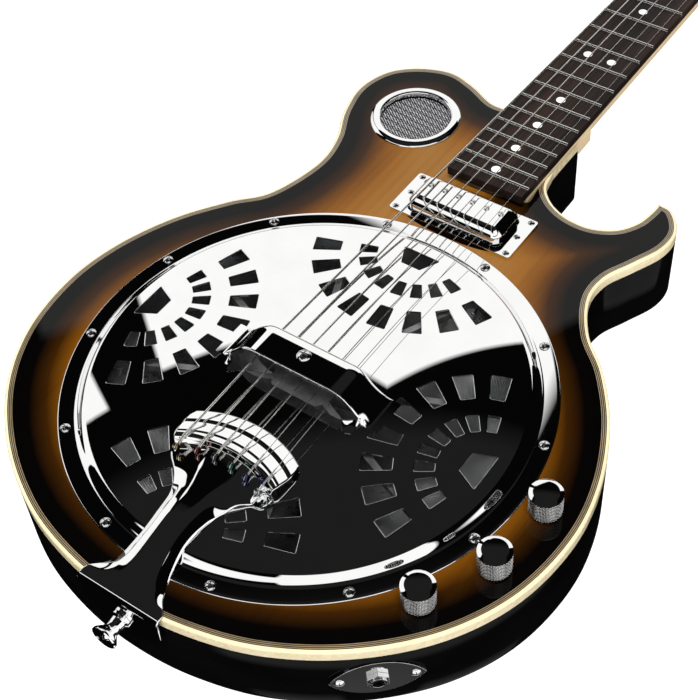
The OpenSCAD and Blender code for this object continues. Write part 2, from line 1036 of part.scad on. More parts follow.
module truss_rod() {
    color("#8f9296")
    on_neck()
    translate([0, 208, -5]) {
        rotate([-90, 0, 0])
        cylinder(r = 2.6, h = head_y - 208 - 2);
        translate([0, head_y - 210 - e, 0])
        rotate([-90, 0, 0])
        cylinder(r = 2.9, h = 8, $fn = 6);
    }
}

module fingerboard() {
    color("#3a2418")
    on_neck()
    difference() {
        translate([0, 0, 0.03])
        linear_extrude(board_thickness - 0.03)
        polygon([
            [-board_end_x, board_end_y], [board_end_x, board_end_y],
            [nut_width / 2, scale_length], [-nut_width / 2, scale_length]
        ]);
        for (n = [1 : fret_count])
            translate([-50, fret_y(n) - 0.3, board_thickness - 2])
            cube([100, 0.6, 10]);
        dot_places()
        translate([0, 0, board_thickness - 1.5])
        cylinder(r = dot_radius + 0.02, h = 10, $fn = 32);
    }
}

module frets() {
    crown = 1.35;
    color("#d7d9da")
    on_neck()
    for (n = [1 : fret_count])
        translate([-board_half(fret_y(n)), fret_y(n), board_thickness])
        rotate([90, 0, 90])
        linear_extrude(2 * board_half(fret_y(n))) {
            intersection() {
                translate([0, fret_height - crown])
                circle(crown, $fn = 32);
                translate([-2, 0.01])
                square([4, 4]);
            }
            translate([-0.27, -1.8])
            square([0.54, 2]);
        }
}

module dot_places() {
    for (n = single_dots)
        translate([0, (fret_y(n) + fret_y(n - 1)) / 2, 0])
        children();
    for (x = [-9, 9])
        translate([x, (fret_y(12) + fret_y(11)) / 2, 0])
        children();
}

module fret_dots() {
    color("#f2efe6")
    on_neck()
    dot_places()
    translate([0, 0, board_thickness - 1.48])
    cylinder(r = dot_radius, h = 1.48, $fn = 32);
}

module nut() {
    color("#efe8d2")
    on_neck()
    difference() {
        translate([-nut_width / 2, scale_length + 0.03, 0.03])
        cube([nut_width, nut_thickness - 0.1, nut_height - 0.03]);
        for (i = [0 : string_count - 1])
            let (slot = string_radius[i] + 0.1)
            translate([string_x(i, nut_spread) - slot, 0, string_height_nut - slot])
            cube([2 * slot, 2000, 10]);
    }
}

module truss_rod_cover() {
    color("#15130f")
    on_head()
    translate([0, 0, 0.05])
    difference() {
        linear_extrude(2)
        polygon([[-9, 3], [9, 3], [11, 8], [7, 30], [0, 36], [-7, 30], [-11, 8]]);
        for (p = cover_screws)
            translate([p[0], p[1], -1])
            cylinder(r = 1.1, h = 5, $fn = 24);
    }
}

// ---------------------------------------------------------------- strings

// Where string i touches each support, from its winding to its ball end
function nut_point(i, back) = let (
    a = neck_tilt, y = scale_length + back - neck_pivot_y, z = string_height_nut
) [
    string_x(i, nut_spread),
    neck_pivot_y + y * cos(a) + z * sin(a),
    neck_pivot_z - y * sin(a) + z * cos(a)
];
function saddle_point(i) = [string_x(i, saddle_spread), 0, top_z + saddle_height - 0.75 + string_radius[i]];
function ridge_point(i) = let (x = string_x(i, ball_spread))
    [x, ridge_y - bow(x), top_z + ridge_top + string_radius[i] + 0.3];
function ball_point(i) = let (x = string_x(i, ball_spread))
    [x, ball_y - bow(x), ball_z + ball_radius * 0.6];

// Where string i leaves the post it winds on; string 0 is the lowest and winds on tuner 1
function post_tangent(i) = let (
    n = i + 1,
    x = tuner_side(n) * (post_x[tuner_row(n)] - post_radius - string_radius[i] - 0.1),
    y = post_y[tuner_row(n)],
    z = wind_height
) [x, head_y + y * cos(head_tilt) + z * sin(head_tilt), head_z - y * sin(head_tilt) + z * cos(head_tilt)];

// Ring of a tube's corners around a point, across a direction
function tube_ring(at, dir, r) = let (
    d = dir / norm(dir),
    side = cross(d, [0, 0, 1]) / norm(cross(d, [0, 0, 1])),
    up = cross(side, d)
) [for (k = [0 : tube_sides - 1]) let (a = k * 360 / tube_sides) at + r * (cos(a) * side + sin(a) * up)];

function unit(v) = v / norm(v);

// Round wire along a list of points
module wire(route, r) {
    last = len(route) - 1;
    steps = [for (k = [1 : last]) unit(route[k] - route[k - 1])];
    rings = [for (k = [0 : last]) tube_ring(route[k], steps[max(k - 1, 0)] + steps[min(k, last - 1)], r)];
    polyhedron(
        points = [for (ring = rings) for (p = ring) p],
        faces = concat(
            [[for (k = [tube_sides - 1 : -1 : 0]) k]],
            [for (j = [0 : last - 1]) for (k = [0 : tube_sides - 1]) let (n = (k + 1) % tube_sides)
                [j * tube_sides + k, j * tube_sides + n, (j + 1) * tube_sides + n, (j + 1) * tube_sides + k]],
            [[for (k = [0 : tube_sides - 1]) last * tube_sides + k]]
        )
    );
}

module string_line(i) {
    r = string_radius[i];
    turns = 3;
    wire([
        post_tangent(i), nut_point(i, nut_thickness), nut_point(i, 0), saddle_point(i), ridge_point(i),
        ball_point(i)
    ], r);
    at_tuner(i + 1)
    for (k = [1 : turns])
        translate([0, 0, wind_height - k * (2 * r + 0.15)])
        rotate_extrude($fn = 48)
        translate([post_radius + r + 0.08, 0])
        circle(r, $fn = 16);
}

module wound_strings() {
    color("#b9955f")
    for (i = [0 : 3])
        string_line(i);
}

module plain_strings() {
    color("#c8cacc")
    for (i = [4 : 5])
        string_line(i);
}

// Rings that the strings are twisted round, held behind the tailpiece's ridges
module ball_ends() {
    color("#b58b3a")
    for (i = [0 : string_count - 1])
        translate(ball_point(i) - [0, ball_radius + 0.1, 0.8])
        rotate([0, 90, 0])
        difference() {
            cylinder(r = ball_radius, h = 3.2, center = true);
            cylinder(r = 0.8, h = 8, center = true);
        }
}

// ---------------------------------------------------------------- tuners

// Closed gear box under the head, with an ear for its screw
module tuner_housings() {
    wall = 1.3;
    color("#cdd0d3")
    for (n = [1 : 6])
        at_tuner(n)
        translate([0, 0, -head_thickness - 0.05])
        difference() {
            union() {
                translate([-8.5, -8, -tuner_depth])
                cube([17, 20, tuner_depth]);
                translate([-6, -13.5, -1.6])
                cube([7, 6, 1.6]);
            }
            translate([-8.5 + wall, -8 + wall, -tuner_depth + wall])
            cube([17 - 2 * wall, 20 - 2 * wall, tuner_depth - 2 * wall]);
            translate([0, 0, -tuner_depth + wall])
            cylinder(r = post_radius + running, h = tuner_depth);
            translate([0, gear_distance, head_thickness - shaft_drop + 0.05])
            rotate([0, 90, 0])
            cylinder(r = 1.8 + running, h = 20);
            translate([ear_screw[0], ear_screw[1], -4])
            cylinder(r = 1.1, h = 8, $fn = 24);
        }
}

module tuner_bushings() {
    color("#d3d6d9")
    for (n = [1 : 6])
        at_tuner(n)
        difference() {
            union() {
                translate([0, 0, 0.05])
                cylinder(r = 7, h = 2.4, $fn = 48);
                translate([0, 0, -8])
                cylinder(r = 5, h = 9);
            }
            translate([0, 0, -20])
            cylinder(r = post_radius + running, h = 40);
        }
}

// One screw in each gear box's ear, and three in the truss rod cover
module tuner_screws() {
    color("#c3c6c9") {
        for (n = [1 : 6])
            at_tuner(n)
            translate([ear_screw[0], ear_screw[1], -head_thickness - 1.7])
            mirror([0, 0, 1])
            round_screw(1.8, 1, 1, 7, $fn = 24);
        on_head()
        for (p = cover_screws)
            translate([p[0], p[1], 2.06])
            round_screw(1.8, 0.9, 1, 6, $fn = 24);
    }
}

// Worm shaft through the gear box wall, with its button pressed on
module tuner_button(n) {
    reach = 46 - post_x[tuner_row(n)];
    at_tuner(n)
    translate([0, gear_distance, -shaft_drop])
    rotate([0, 90, 0]) {
        translate([0, 0, -6.5])
        cylinder(r = worm_radius, h = 13);
        cylinder(r = 1.8, h = reach + 9, $fn = 32);
        translate([0, 0, 9])
        cylinder(r = 3, h = 2.5, $fn = 32);
        difference() {
            translate([0, 0, reach + 7])
            rotate([90, 0, 0])
            translate([0, 0, -3.5])
            linear_extrude(7)
            polygon([for (a = [0 : 15 : 345]) [8.5 * cos(a), 9 * sin(a) * (1 - 0.12 * cos(2 * a))]]);
            translate([0, 0, -1])
            cylinder(r = 1.82, h = reach + 10.1, $fn = 32);
        }
    }
}

// Post with its worm wheel, standing up through the head
module tuner_post(n) {
    at_tuner(n)
    difference() {
        union() {
            translate([0, 0, -shaft_drop - 3.9])
            cylinder(r = post_radius, h = shaft_drop + 3.9 + 18);
            translate([0, 0, -shaft_drop - 2])
            cylinder(r = gear_radius, h = 4);
        }
        translate([0, 0, wind_height + 2])
        rotate([90, 0, 0])
        cylinder(r = 0.9, h = 20, center = true, $fn = 24);
        rotate_extrude($fn = 48)
        translate([post_radius + 12.6, wind_height + 2])
        circle(13, $fn = 96);
    }
}

module tuner_button_1() { color("#d9dcdf") tuner_button(1); }
module tuner_button_2() { color("#d9dcdf") tuner_button(2); }
module tuner_button_3() { color("#d9dcdf") tuner_button(3); }
module tuner_button_4() { color("#d9dcdf") tuner_button(4); }
module tuner_button_5() { color("#d9dcdf") tuner_button(5); }
module tuner_button_6() { color("#d9dcdf") tuner_button(6); }
module tuner_post_1() { color("#d0d3d6") tuner_post(1); }
module tuner_post_2() { color("#d0d3d6") tuner_post(2); }
module tuner_post_3() { color("#d0d3d6") tuner_post(3); }
module tuner_post_4() { color("#d0d3d6") tuner_post(4); }
module tuner_post_5() { color("#d0d3d6") tuner_post(5); }
module tuner_post_6() { color("#d0d3d6") tuner_post(6); }

// ---------------------------------------------------------------- drawing

body_back();
body_sides();
body_top();
binding();
purfling();
end_blocks();
sound_well();
resonator_cone();
spider();
saddle();
tension_screw();
coverplate();
coverplate_screws();
hand_rest();
hand_rest_screw();
sound_hole_ring();
sound_hole_mesh();
pickup_frame();
pickup_cover();
pickup_coil();
pickup_pole_screws();
pickup_frame_screws();
pot_housings();
control_nuts();
volume_knob();
tone_knob();
blend_knob();
volume_shaft();
tone_shaft();
blend_shaft();
jack_plate();
jack_socket();
jack_plate_screws();
tailpiece();
strap_buttons();
neck();
truss_rod();
fingerboard();
frets();
fret_dots();
nut();
truss_rod_cover();
wound_strings();
plain_strings();
ball_ends();
tuner_housings();
tuner_bushings();
tuner_screws();
tuner_button_1();
tuner_button_2();
tuner_button_3();
tuner_button_4();
tuner_button_5();
tuner_button_6();
tuner_post_1();
tuner_post_2();
tuner_post_3();
tuner_post_4();
tuner_post_5();
tuner_post_6();
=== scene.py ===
import json
import math
import bmesh
import bpy
import numpy as np
from mathutils import Matrix, Vector
from mathutils.geometry import delaunay_2d_cdt


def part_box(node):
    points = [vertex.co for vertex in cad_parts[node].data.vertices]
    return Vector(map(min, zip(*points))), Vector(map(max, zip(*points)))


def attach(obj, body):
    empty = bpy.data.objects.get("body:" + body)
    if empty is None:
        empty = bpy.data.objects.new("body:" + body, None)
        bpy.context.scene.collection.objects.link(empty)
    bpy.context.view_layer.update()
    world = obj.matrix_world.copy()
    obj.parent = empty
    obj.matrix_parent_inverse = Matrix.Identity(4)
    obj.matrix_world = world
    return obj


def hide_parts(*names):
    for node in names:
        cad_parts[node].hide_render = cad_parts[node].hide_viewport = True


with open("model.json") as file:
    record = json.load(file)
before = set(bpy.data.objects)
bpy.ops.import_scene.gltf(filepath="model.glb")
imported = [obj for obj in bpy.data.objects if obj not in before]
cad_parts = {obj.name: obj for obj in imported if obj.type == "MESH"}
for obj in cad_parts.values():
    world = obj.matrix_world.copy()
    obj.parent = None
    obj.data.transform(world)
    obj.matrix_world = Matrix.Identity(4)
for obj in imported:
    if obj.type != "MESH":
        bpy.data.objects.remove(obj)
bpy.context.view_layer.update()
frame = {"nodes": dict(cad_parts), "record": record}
scene = bpy.context.scene

MM = 0.001          # the frame is in metres, and the sizes below are in millimetres
TAU = 2 * math.pi
TINY = 1e-6
WEAVE_TURN = math.radians(38)      # of the screen's wires from the X axis


def box_mm(node):
    """Lowest and highest corner of a CAD node, in mm."""
    low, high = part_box(node)
    return low / MM, high / MM


def middle_of(node):
    """Middle of a CAD node across and along, in mm."""
    low, high = box_mm(node)
    return (low.x + high.x) / 2, (low.y + high.y) / 2


TOP = box_mm("body_top")[1].z
PLATE_LOW, PLATE_HIGH = box_mm("coverplate")
PLATE_X, PLATE_Y = middle_of("coverplate")
PLATE_R = (PLATE_HIGH.x - PLATE_LOW.x) / 2
PLATE_CROWN = PLATE_HIGH.z - TOP

# ---------------- camera


def add_camera():
    """Long lens above the tail, on the treble side, slightly rolled."""
    azimuth, elevation, roll = math.radians(38.88), math.radians(48.88), math.radians(-4.98)
    target = Vector((3.4, 30.7, TOP)) * MM
    distance = 0.8408
    swing = Matrix.Rotation(azimuth, 4, "Z") @ Matrix.Rotation(math.pi / 2 - elevation, 4, "X")
    data = bpy.data.cameras.new("camera")
    data.sensor_fit = "VERTICAL"
    data.sensor_height = 36
    data.lens = 74.91
    camera = bpy.data.objects.new("camera", data)
    camera.matrix_world = (Matrix.Translation(target) @ swing @ Matrix.Rotation(roll, 4, "Z")
                           @ Matrix.Translation((0, 0, distance)))
    scene.collection.objects.link(camera)
    scene.camera = camera


add_camera()

# ---------------- shader helpers


def feed(tree, socket, value):
    """Sets a socket, or links it to the output of another node."""
    if isinstance(value, bpy.types.NodeSocket):
        tree.links.new(value, socket)
    else:
        socket.default_value = (*value, 1) if isinstance(value, tuple) else value


def math_node(tree, operation, *values):
    node = tree.nodes.new("ShaderNodeMath")
    node.operation = operation
    for socket, value in zip(node.inputs, values):
        feed(tree, socket, value)
    return node.outputs["Value"]


class Shader:
    """A Principled material and short calls that add nodes to it."""

    def __init__(self, name, color=(0.8, 0.8, 0.8), **sockets):
        self.material = bpy.data.materials.new(name)
        self.material.use_nodes = True
        self.tree = self.material.node_tree
        self.surface = self.tree.nodes["Principled BSDF"]
        self.surface.inputs["Base Color"].default_value = (*color, 1)
        for key, value in sockets.items():
            self.surface.inputs[key.replace("_", " ").title().replace("Ior", "IOR")].default_value = value

    def add(self, kind, **settings):
        node = self.tree.nodes.new(kind)
        for key, value in settings.items():
            if key in node.inputs:
                node.inputs[key].default_value = value
            else:
                setattr(node, key, value)
        return node

    def link(self, source, target):
        self.tree.links.new(source, target)

    def place(self, scale=(1, 1, 1), rotation=(0, 0, 0)):
        """Coordinates of the piece, in metres times scale."""
        mapping = self.add("ShaderNodeMapping", Scale=scale, Rotation=rotation)
        self.link(self.add("ShaderNodeTexCoord").outputs["Object"], mapping.inputs["Vector"])
        return mapping.outputs["Vector"]

    def noise(self, where, scale, detail=3, roughness=0.55):
        node = self.add("ShaderNodeTexNoise", Scale=scale, Detail=detail, Roughness=roughness)
        self.link(where, node.inputs["Vector"])
        return node.outputs["Fac"]

    def wave(self, where, scale, **settings):
        node = self.add("ShaderNodeTexWave", Scale=scale, **settings)
        self.link(where, node.inputs["Vector"])
        return node.outputs["Fac"]

    def spread(self, value, low, high, start=0.3, stop=0.7):
        """Maps a value from start..stop to low..high."""
        limits = {"From Min": start, "From Max": stop, "To Min": low, "To Max": high}
        node = self.add("ShaderNodeMapRange", **limits)
        self.link(value, node.inputs["Value"])
        return node.outputs["Result"]

    def ramp(self, value, stops, blend="LINEAR"):
        """Colours along a value; stops are (position, colour)."""
        node = self.add("ShaderNodeValToRGB")
        node.color_ramp.interpolation = blend
        elements = node.color_ramp.elements
        while len(elements) < len(stops):
            elements.new(1)
        for element, (position, color) in zip(elements, stops):
            element.position = position
            element.color = (*color, 1)
        self.link(value, node.inputs["Fac"])
        return node.outputs["Color"]

    def mix(self, factor, a, b, blend="MIX"):
        node = self.add("ShaderNodeMix", data_type="RGBA", blend_type=blend)
        for socket, value in ((node.inputs["Factor"], factor), (node.inputs[6], a), (node.inputs[7], b)):
            feed(self.tree, socket, value)
        return node.outputs[2]

    def math(self, operation, *values):
        return math_node(self.tree, operation, *values)

    def attribute(self, name):
        return self.add("ShaderNodeAttribute", attribute_name=name).outputs["Fac"]

    def color(self, value):
        self.link(value, self.surface.inputs["Base Color"])

    def blend(self, value, a, b):
        """Base colour from a to b as a value goes through its middle range."""
        self.color(self.mix(self.spread(value, 0, 1), a, b))

    def roughness(self, value):
        self.link(value, self.surface.inputs["Roughness"])

    def uneven(self, scale, detail, low, high):
        """Roughness that a noise moves between two values."""
        self.roughness(self.spread(self.noise(self.place(), scale, detail), low, high))

    def bump(self, height, strength, distance):
        node = self.add("ShaderNodeBump", Strength=strength, Distance=distance)
        self.link(height, node.inputs["Height"])
        self.link(node.outputs["Normal"], self.surface.inputs["Normal"])


def polished_metal(name, color, rough, tint=0.04):
    """Plated or polished metal with faint wipe marks and a slightly uneven polish."""
    s = Shader(name, color, metallic=1.0)
    marks = s.noise(s.place(), 55, 4)
    fine = s.noise(s.place((1, 5, 1)), 300, 2)
    s.roughness(s.spread(s.math("MULTIPLY", marks, s.math("ADD", fine, 0.5)), *rough))
    s.blend(marks, color, tuple(c * (1 - tint) for c in color))
    return s


# ---------------- materials, one for each slot


def chrome():
    return polished_metal("chrome", (0.90, 0.905, 0.91), (0.004, 0.014))


def knurled_chrome():
    s = Shader("knurled_chrome", (0.88, 0.885, 0.89), metallic=1.0)
    marks = s.noise(s.place(), 300, 2)
    # Painted shade: the base colour is near black in the knurl's grooves and bright on its peaks.
    s.color(s.ramp(s.attribute("knurl"), [(0.25, (0.03, 0.03, 0.03)), (0.75, (0.90, 0.90, 0.91))]))
    s.roughness(s.spread(marks, 0.2, 0.3))
    return s


def steel():
    return polished_metal("steel", (0.74, 0.745, 0.75), (0.1, 0.2))


def brass():
    return polished_metal("brass", (0.74, 0.54, 0.24), (0.12, 0.24), 0.12)


def fret_wire():
    return polished_metal("fret_wire", (0.78, 0.77, 0.74), (0.08, 0.18))


def spun_aluminium():
    """Spun sheet: fine rings round the cone's axis."""
    s = Shader("spun_aluminium", (0.62, 0.63, 0.64), metallic=1.0)
    offset = s.add("ShaderNodeVectorMath", operation="SUBTRACT")
    offset.inputs[1].default_value = (PLATE_X * MM, PLATE_Y * MM, TOP * MM)
    s.link(s.add("ShaderNodeTexCoord").outputs["Object"], offset.inputs[0])
    rings = s.wave(offset.outputs[0], 220.0, wave_type="RINGS", rings_direction="Z",
                   Distortion=1.2, Detail=3.0)
    cloud = s.noise(s.place(), 40, 4)
    s.roughness(s.spread(cloud, 0.22, 0.42))
    s.blend(cloud, (0.66, 0.67, 0.68), (0.46, 0.47, 0.48))
    s.bump(rings, 0.35, 0.0002)
    return s


def cast_aluminium():
    s = Shader("cast_aluminium", (0.52, 0.53, 0.54), metallic=0.75)
    pits = s.noise(s.place(), 900, 3)
    cloud = s.noise(s.place(), 60, 3)
    s.roughness(s.spread(cloud, 0.3, 0.55))
    s.blend(cloud, (0.36, 0.36, 0.37), (0.14, 0.14, 0.145))
    s.bump(pits, 0.5, 0.0003)
    return s


def black_lacquer():
    s = Shader("black_lacquer", (0.004, 0.004, 0.0045), roughness=0.25, coat_weight=0.16, coat_roughness=0.03,
               specular_ior_level=0.0)
    haze = s.noise(s.place((1, 1, 3)), 14, 4)
    s.blend(haze, (0.0012, 0.0012, 0.0014), (0.0026, 0.0024, 0.0024))
    s.uneven(160, 3, 0.2, 0.34)
    s.bump(s.noise(s.place(), 14, 1), 0.01, 0.001)
    return s


def grain(s, along=2.2, across=90.0):
    """Wood fibres along Y: long streaks with fine pores, from 0 to 1."""
    fibres = s.noise(s.place((across, along, across)), 3.2, 5, 0.6)
    bands = s.noise(s.place((across * 0.22, along * 0.6, across * 0.22)), 2.0, 3)
    return s.math("ADD", s.math("MULTIPLY", fibres, 0.55), s.math("MULTIPLY", bands, 0.45))


def sunburst_top():
    """Amber wood that darkens to black towards the edge, under clear gloss."""
    s = Shader("sunburst_top", (0.4, 0.17, 0.02), roughness=0.32, coat_weight=0.42, coat_roughness=0.015,
               specular_ior_level=0.0)
    fibre = grain(s)
    cloud = s.noise(s.place(), 9, 3)
    shade = s.math("ADD", s.attribute("depth"), s.math("MULTIPLY", s.math("SUBTRACT", cloud, 0.5), 0.10))
    burst = s.ramp(shade, [
        (0.0, (0.0009, 0.0008, 0.0008)), (0.22, (0.0012, 0.0009, 0.0008)), (0.38, (0.026, 0.0088, 0.0010)),
        (0.55, (0.130, 0.044, 0.0026)), (0.74, (0.21, 0.080, 0.0075)), (1.0, (0.235, 0.103, 0.018))])
    streak = s.ramp(fibre, [(0.30, (0.82, 0.77, 0.70)), (0.5, (1, 1, 1)), (0.68, (1.09, 1.08, 1.04))])
    s.color(s.mix(1.0, burst, streak, "MULTIPLY"))
    s.roughness(s.spread(fibre, 0.26, 0.4))
    return s


def binding_cream():
    s = Shader("binding_cream", (0.80, 0.70, 0.44), roughness=0.25, coat_weight=0.8, coat_roughness=0.05,
               subsurface_weight=0.12, subsurface_radius=(0.002, 0.0015, 0.0008))
    cloud = s.noise(s.place(), 30, 4)
    s.blend(cloud, (0.74, 0.645, 0.43), (0.68, 0.575, 0.36))
    s.uneven(220, 2, 0.2, 0.34)
    return s


def purfling_lines():
    """Dark and cream strips side by side across the inlay."""
    s = Shader("purfling_lines", (0.4, 0.35, 0.25), roughness=0.3, coat_weight=1.0, coat_roughness=0.02)
    dark, light = (0.006, 0.005, 0.0045), (0.36, 0.27, 0.15)
    stops = [(0.0, dark), (0.17, light), (0.30, dark), (0.50, light), (0.63, dark), (0.83, light),
             (0.93, dark)]
    lines = s.ramp(s.attribute("across"), stops, "CONSTANT")
    stain = s.noise(s.place(), 60, 3)
    s.color(s.mix(s.spread(stain, 0.0, 0.35), lines, dark))
    return s


def bare_wood(name, light, dark, **sockets):
    s = Shader(name, light, roughness=0.55, **sockets)
    fibre = grain(s, 3.0, 70.0)
    s.color(s.ramp(fibre, [(0.32, dark), (0.62, light)]))
    s.roughness(s.spread(fibre, 0.6, 0.45))
    s.bump(fibre, 0.12, 0.0004)
    return s


def inner_wood():
    return bare_wood("inner_wood", (0.55, 0.37, 0.19), (0.36, 0.21, 0.10))


def maple():
    return bare_wood("maple", (0.80, 0.62, 0.38), (0.69, 0.49, 0.27), coat_weight=0.6, coat_roughness=0.12)


def rosewood():
    s = Shader("rosewood", (0.03, 0.018, 0.014), roughness=0.5, specular_ior_level=0.12)
    fibre = grain(s, 5.0, 190.0)
    pores = s.noise(s.place((420, 26, 420)), 1.6, 3)
    s.color(s.ramp(fibre, [
        (0.34, (0.004, 0.003, 0.0028)), (0.5, (0.013, 0.008, 0.0065)), (0.66, (0.032, 0.017, 0.012))]))
    s.roughness(s.spread(pores, 0.55, 0.36))
    s.bump(pores, 0.25, 0.0002)
    return s


def pearl():
    s = Shader("pearl", (0.86, 0.86, 0.83), roughness=0.18, coat_weight=1.0, coat_roughness=0.05)
    swirl = s.noise(s.place((1, 1.6, 1)), 320, 4)
    s.color(s.ramp(swirl, [(0.3, (0.74, 0.76, 0.74)), (0.5, (0.90, 0.89, 0.86)), (0.7, (0.82, 0.78, 0.80))]))
    s.roughness(s.spread(swirl, 0.12, 0.3))
    return s


def bone():
    s = Shader("bone", (0.80, 0.74, 0.58), roughness=0.35, subsurface_weight=0.1,
               subsurface_radius=(0.002, 0.0015, 0.001))
    speck = s.noise(s.place((1, 1, 3)), 260, 3)
    s.blend(speck, (0.84, 0.79, 0.64), (0.72, 0.65, 0.48))
    s.roughness(s.spread(speck, 0.28, 0.45))
    return s


def black_plastic():
    s = Shader("black_plastic", (0.01, 0.01, 0.01), roughness=0.2)
    speck = s.noise(s.place(), 180, 3)
    s.blend(speck, (0.006, 0.006, 0.006), (0.016, 0.015, 0.015))
    s.roughness(s.spread(speck, 0.12, 0.28))
    return s


def coil():
    s = Shader("coil", (0.2, 0.08, 0.03), roughness=0.5)
    turns = s.wave(s.place(), 900.0, bands_direction="Z", Distortion=0.4, Detail=1.0)
    # Painted shade: the base colour is darker in the gaps between the turns, where the bump is low.
    s.color(s.ramp(turns, [(0.2, (0.10, 0.03, 0.012)), (0.8, (0.34, 0.13, 0.05))]))
    s.bump(turns, 0.6, 0.0002)
    return s


def woven_mesh():
    """Black cloth shot with silver thread: bright specks where the threads cross."""
    s = Shader("woven_mesh", (0.3, 0.3, 0.3), roughness=0.4)
    where = s.place(rotation=(0, 0, WEAVE_TURN))
    crossing = s.math("MULTIPLY", *[s.wave(where, 200.0, bands_direction=direction) for direction in "XY"])
    s.color(s.ramp(crossing, [(0.22, (0.006, 0.006, 0.007)), (0.6, (0.62, 0.62, 0.64))]))
    s.uneven(240, 2, 0.3, 0.5)
    return s


def wound_string():
    """Bronze wrap wire: close turns along the string."""
    s = Shader("wound_string", (0.86, 0.83, 0.77), metallic=1.0, roughness=0.25)
    turns = s.wave(s.place(), 1100.0, bands_direction="Y")
    # Painted shade: the base colour is a little darker in the gaps between the turns, where the bump is low.
    s.color(s.ramp(turns, [(0.1, (0.84, 0.82, 0.78)), (0.6, (0.95, 0.94, 0.91))]))
    s.uneven(300, 2, 0.16, 0.32)
    s.bump(turns, 0.06, 0.0002)
    return s


def plain_string():
    return polished_metal("plain_string", (0.84, 0.84, 0.85), (0.1, 0.2))


MAKERS = [black_lacquer, sunburst_top, binding_cream, purfling_lines, inner_wood, spun_aluminium,
          cast_aluminium, maple, steel, chrome, knurled_chrome, woven_mesh, coil, brass, rosewood, fret_wire,
          pearl, bone, black_plastic, wound_string, plain_string]
MATERIALS = {maker.__name__: maker().material for maker in MAKERS}
SLOT_OF = {row["node"]: row["material_slot"] for row in frame["record"]["subparts"]}
BODY_OF = {node: body for body, nodes in frame["record"]["behaviour"]["bodies"].items() for node in nodes}

# ---------------- numbers and curves


def ratio(low, high, value):
    """How far a value has come from low to high, held between 0 and 1."""
    return min(max((value - low) / (high - low), 0.0), 1.0)


def smoothstep(low, high, value):
    t = ratio(low, high, value)
    return t * t * (3 - 2 * t)


def quarter(t):
    """Fall of a quarter circle, from 0 at t = 0 to 1 at t = 1."""
    return 1 - math.sqrt(1 - t ** 2)


def hermite(t, a, b, start, end):
    """Cubic from a to b that leaves along start and arrives along end."""
    return ((2 * t ** 3 - 3 * t ** 2 + 1) * a + (t ** 3 - 2 * t ** 2 + t) * start
            + (3 * t ** 2 - 2 * t ** 3) * b + (t ** 3 - t ** 2) * end)


def curve_through(points):
    """A function that runs smoothly through (place, value) points without overshooting."""
    xs, ys = np.array(points, float).T
    slopes = np.diff(ys) / np.diff(xs)
    tangents = np.zeros(len(xs))
    tangents[0], tangents[-1] = slopes[0], slopes[-1]
    for i in range(1, len(xs) - 1):
        a, b = slopes[i - 1], slopes[i]
        tangents[i] = 0 if a * b <= 0 else 2 * a * b / (a + b)

    def value(x):
        i = int(np.clip(np.searchsorted(xs, x) - 1, 0, len(xs) - 2))
        start, end = tangents[i:i + 2] * (xs[i + 1] - xs[i])
        return float(hermite(ratio(xs[i], xs[i + 1], x), ys[i], ys[i + 1], start, end))
    return value


def circle(radius, count, center=(0.0, 0.0)):
    """Points of a circle, anticlockwise."""
    turns = [TAU * k / count for k in range(count)]
    return [Vector((center[0] + radius * math.cos(a), center[1] + radius * math.sin(a))) for a in turns]


# ---------------- faces over grids of points


def skin(rows, columns, closed_rows=False, closed_columns=False, flip=False):
    """Four-sided faces of a grid of points that is stored row by row."""
    faces = []
    for i in range(rows if closed_rows else rows - 1):
        here, after = i * columns, (i + 1) % rows * columns
        for j in range(columns if closed_columns else columns - 1):
            k = (j + 1) % columns
            a, b, c, d = here + j, here + k, after + k, after + j
            faces.append((a, b, c, d) if flip else (a, d, c, b))
    return faces


def caps(rows, columns):
    """One face for the first row and one for the last."""
    last = (rows - 1) * columns
    return [tuple(range(columns - 1, -1, -1)), tuple(range(last, last + columns))]


def capped(rows, columns):
    """Faces of closed rings that are stacked upwards, with a cap at each end."""
    return skin(rows, columns, closed_columns=True, flip=True) + caps(rows, columns)


def shell(top, bottom):
    """Points and faces of a sheet between two grids: face, underside and edges."""
    n, m = len(top), len(top[0])
    under = n * m
    points = [p for row in top + bottom for p in row]
    faces = skin(n, m) + [tuple(index + under for index in face) for face in skin(n, m, flip=True)]
    border = [i * m for i in range(n)] + [(n - 1) * m + j for j in range(1, m)]
    border += [i * m + m - 1 for i in range(n - 2, -1, -1)] + list(range(m - 2, 0, -1))
    faces += [(p, p + under, q + under, q) for p, q in zip(border, border[1:] + border[:1])]
    return points, faces


def bridge(one, two):
    """Faces between two closed rings of indices."""
    n = len(one)
    return [(one[i], one[(i + 1) % n], two[(i + 1) % n], two[i]) for i in range(n)]


# ---------------- pieces

finished = set()        # CAD nodes that a Blender piece stands for


def dress(name, mesh, slot, nodes, body, sharp=None):
    """An object with the slot's material, under its body, which stands for CAD nodes and hides them."""
    piece = bpy.data.objects.new(name, mesh)
    scene.collection.objects.link(piece)
    mesh.materials.clear()
    mesh.materials.append(MATERIALS[slot])
    mesh.polygons.foreach_set("use_smooth", [True] * len(mesh.polygons))
    if sharp:
        mesh.set_sharp_from_angle(angle=math.radians(sharp))
    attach(piece, body)
    if nodes:
        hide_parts(*nodes)
        finished.update(nodes)
    return piece


def mesh_of(name, points, faces):
    """A mesh from points in mm."""
    mesh = bpy.data.meshes.new(name)
    mesh.from_pydata([Vector(p) * MM for p in points], [], faces)
    return mesh


def new_piece(name, points, faces, slot, *nodes, body="root", sharp=35):
    """A piece from points in mm."""
    mesh = mesh_of(name, points, faces)
    mesh.validate()
    return dress(name, mesh, slot, nodes, body, sharp)


def paint(piece, name, values):
    """A number for each point of a piece, which its material reads."""
    layer = piece.data.attributes.new(name, "FLOAT", "POINT")
    layer.data.foreach_set("value", np.array(values, np.float32))


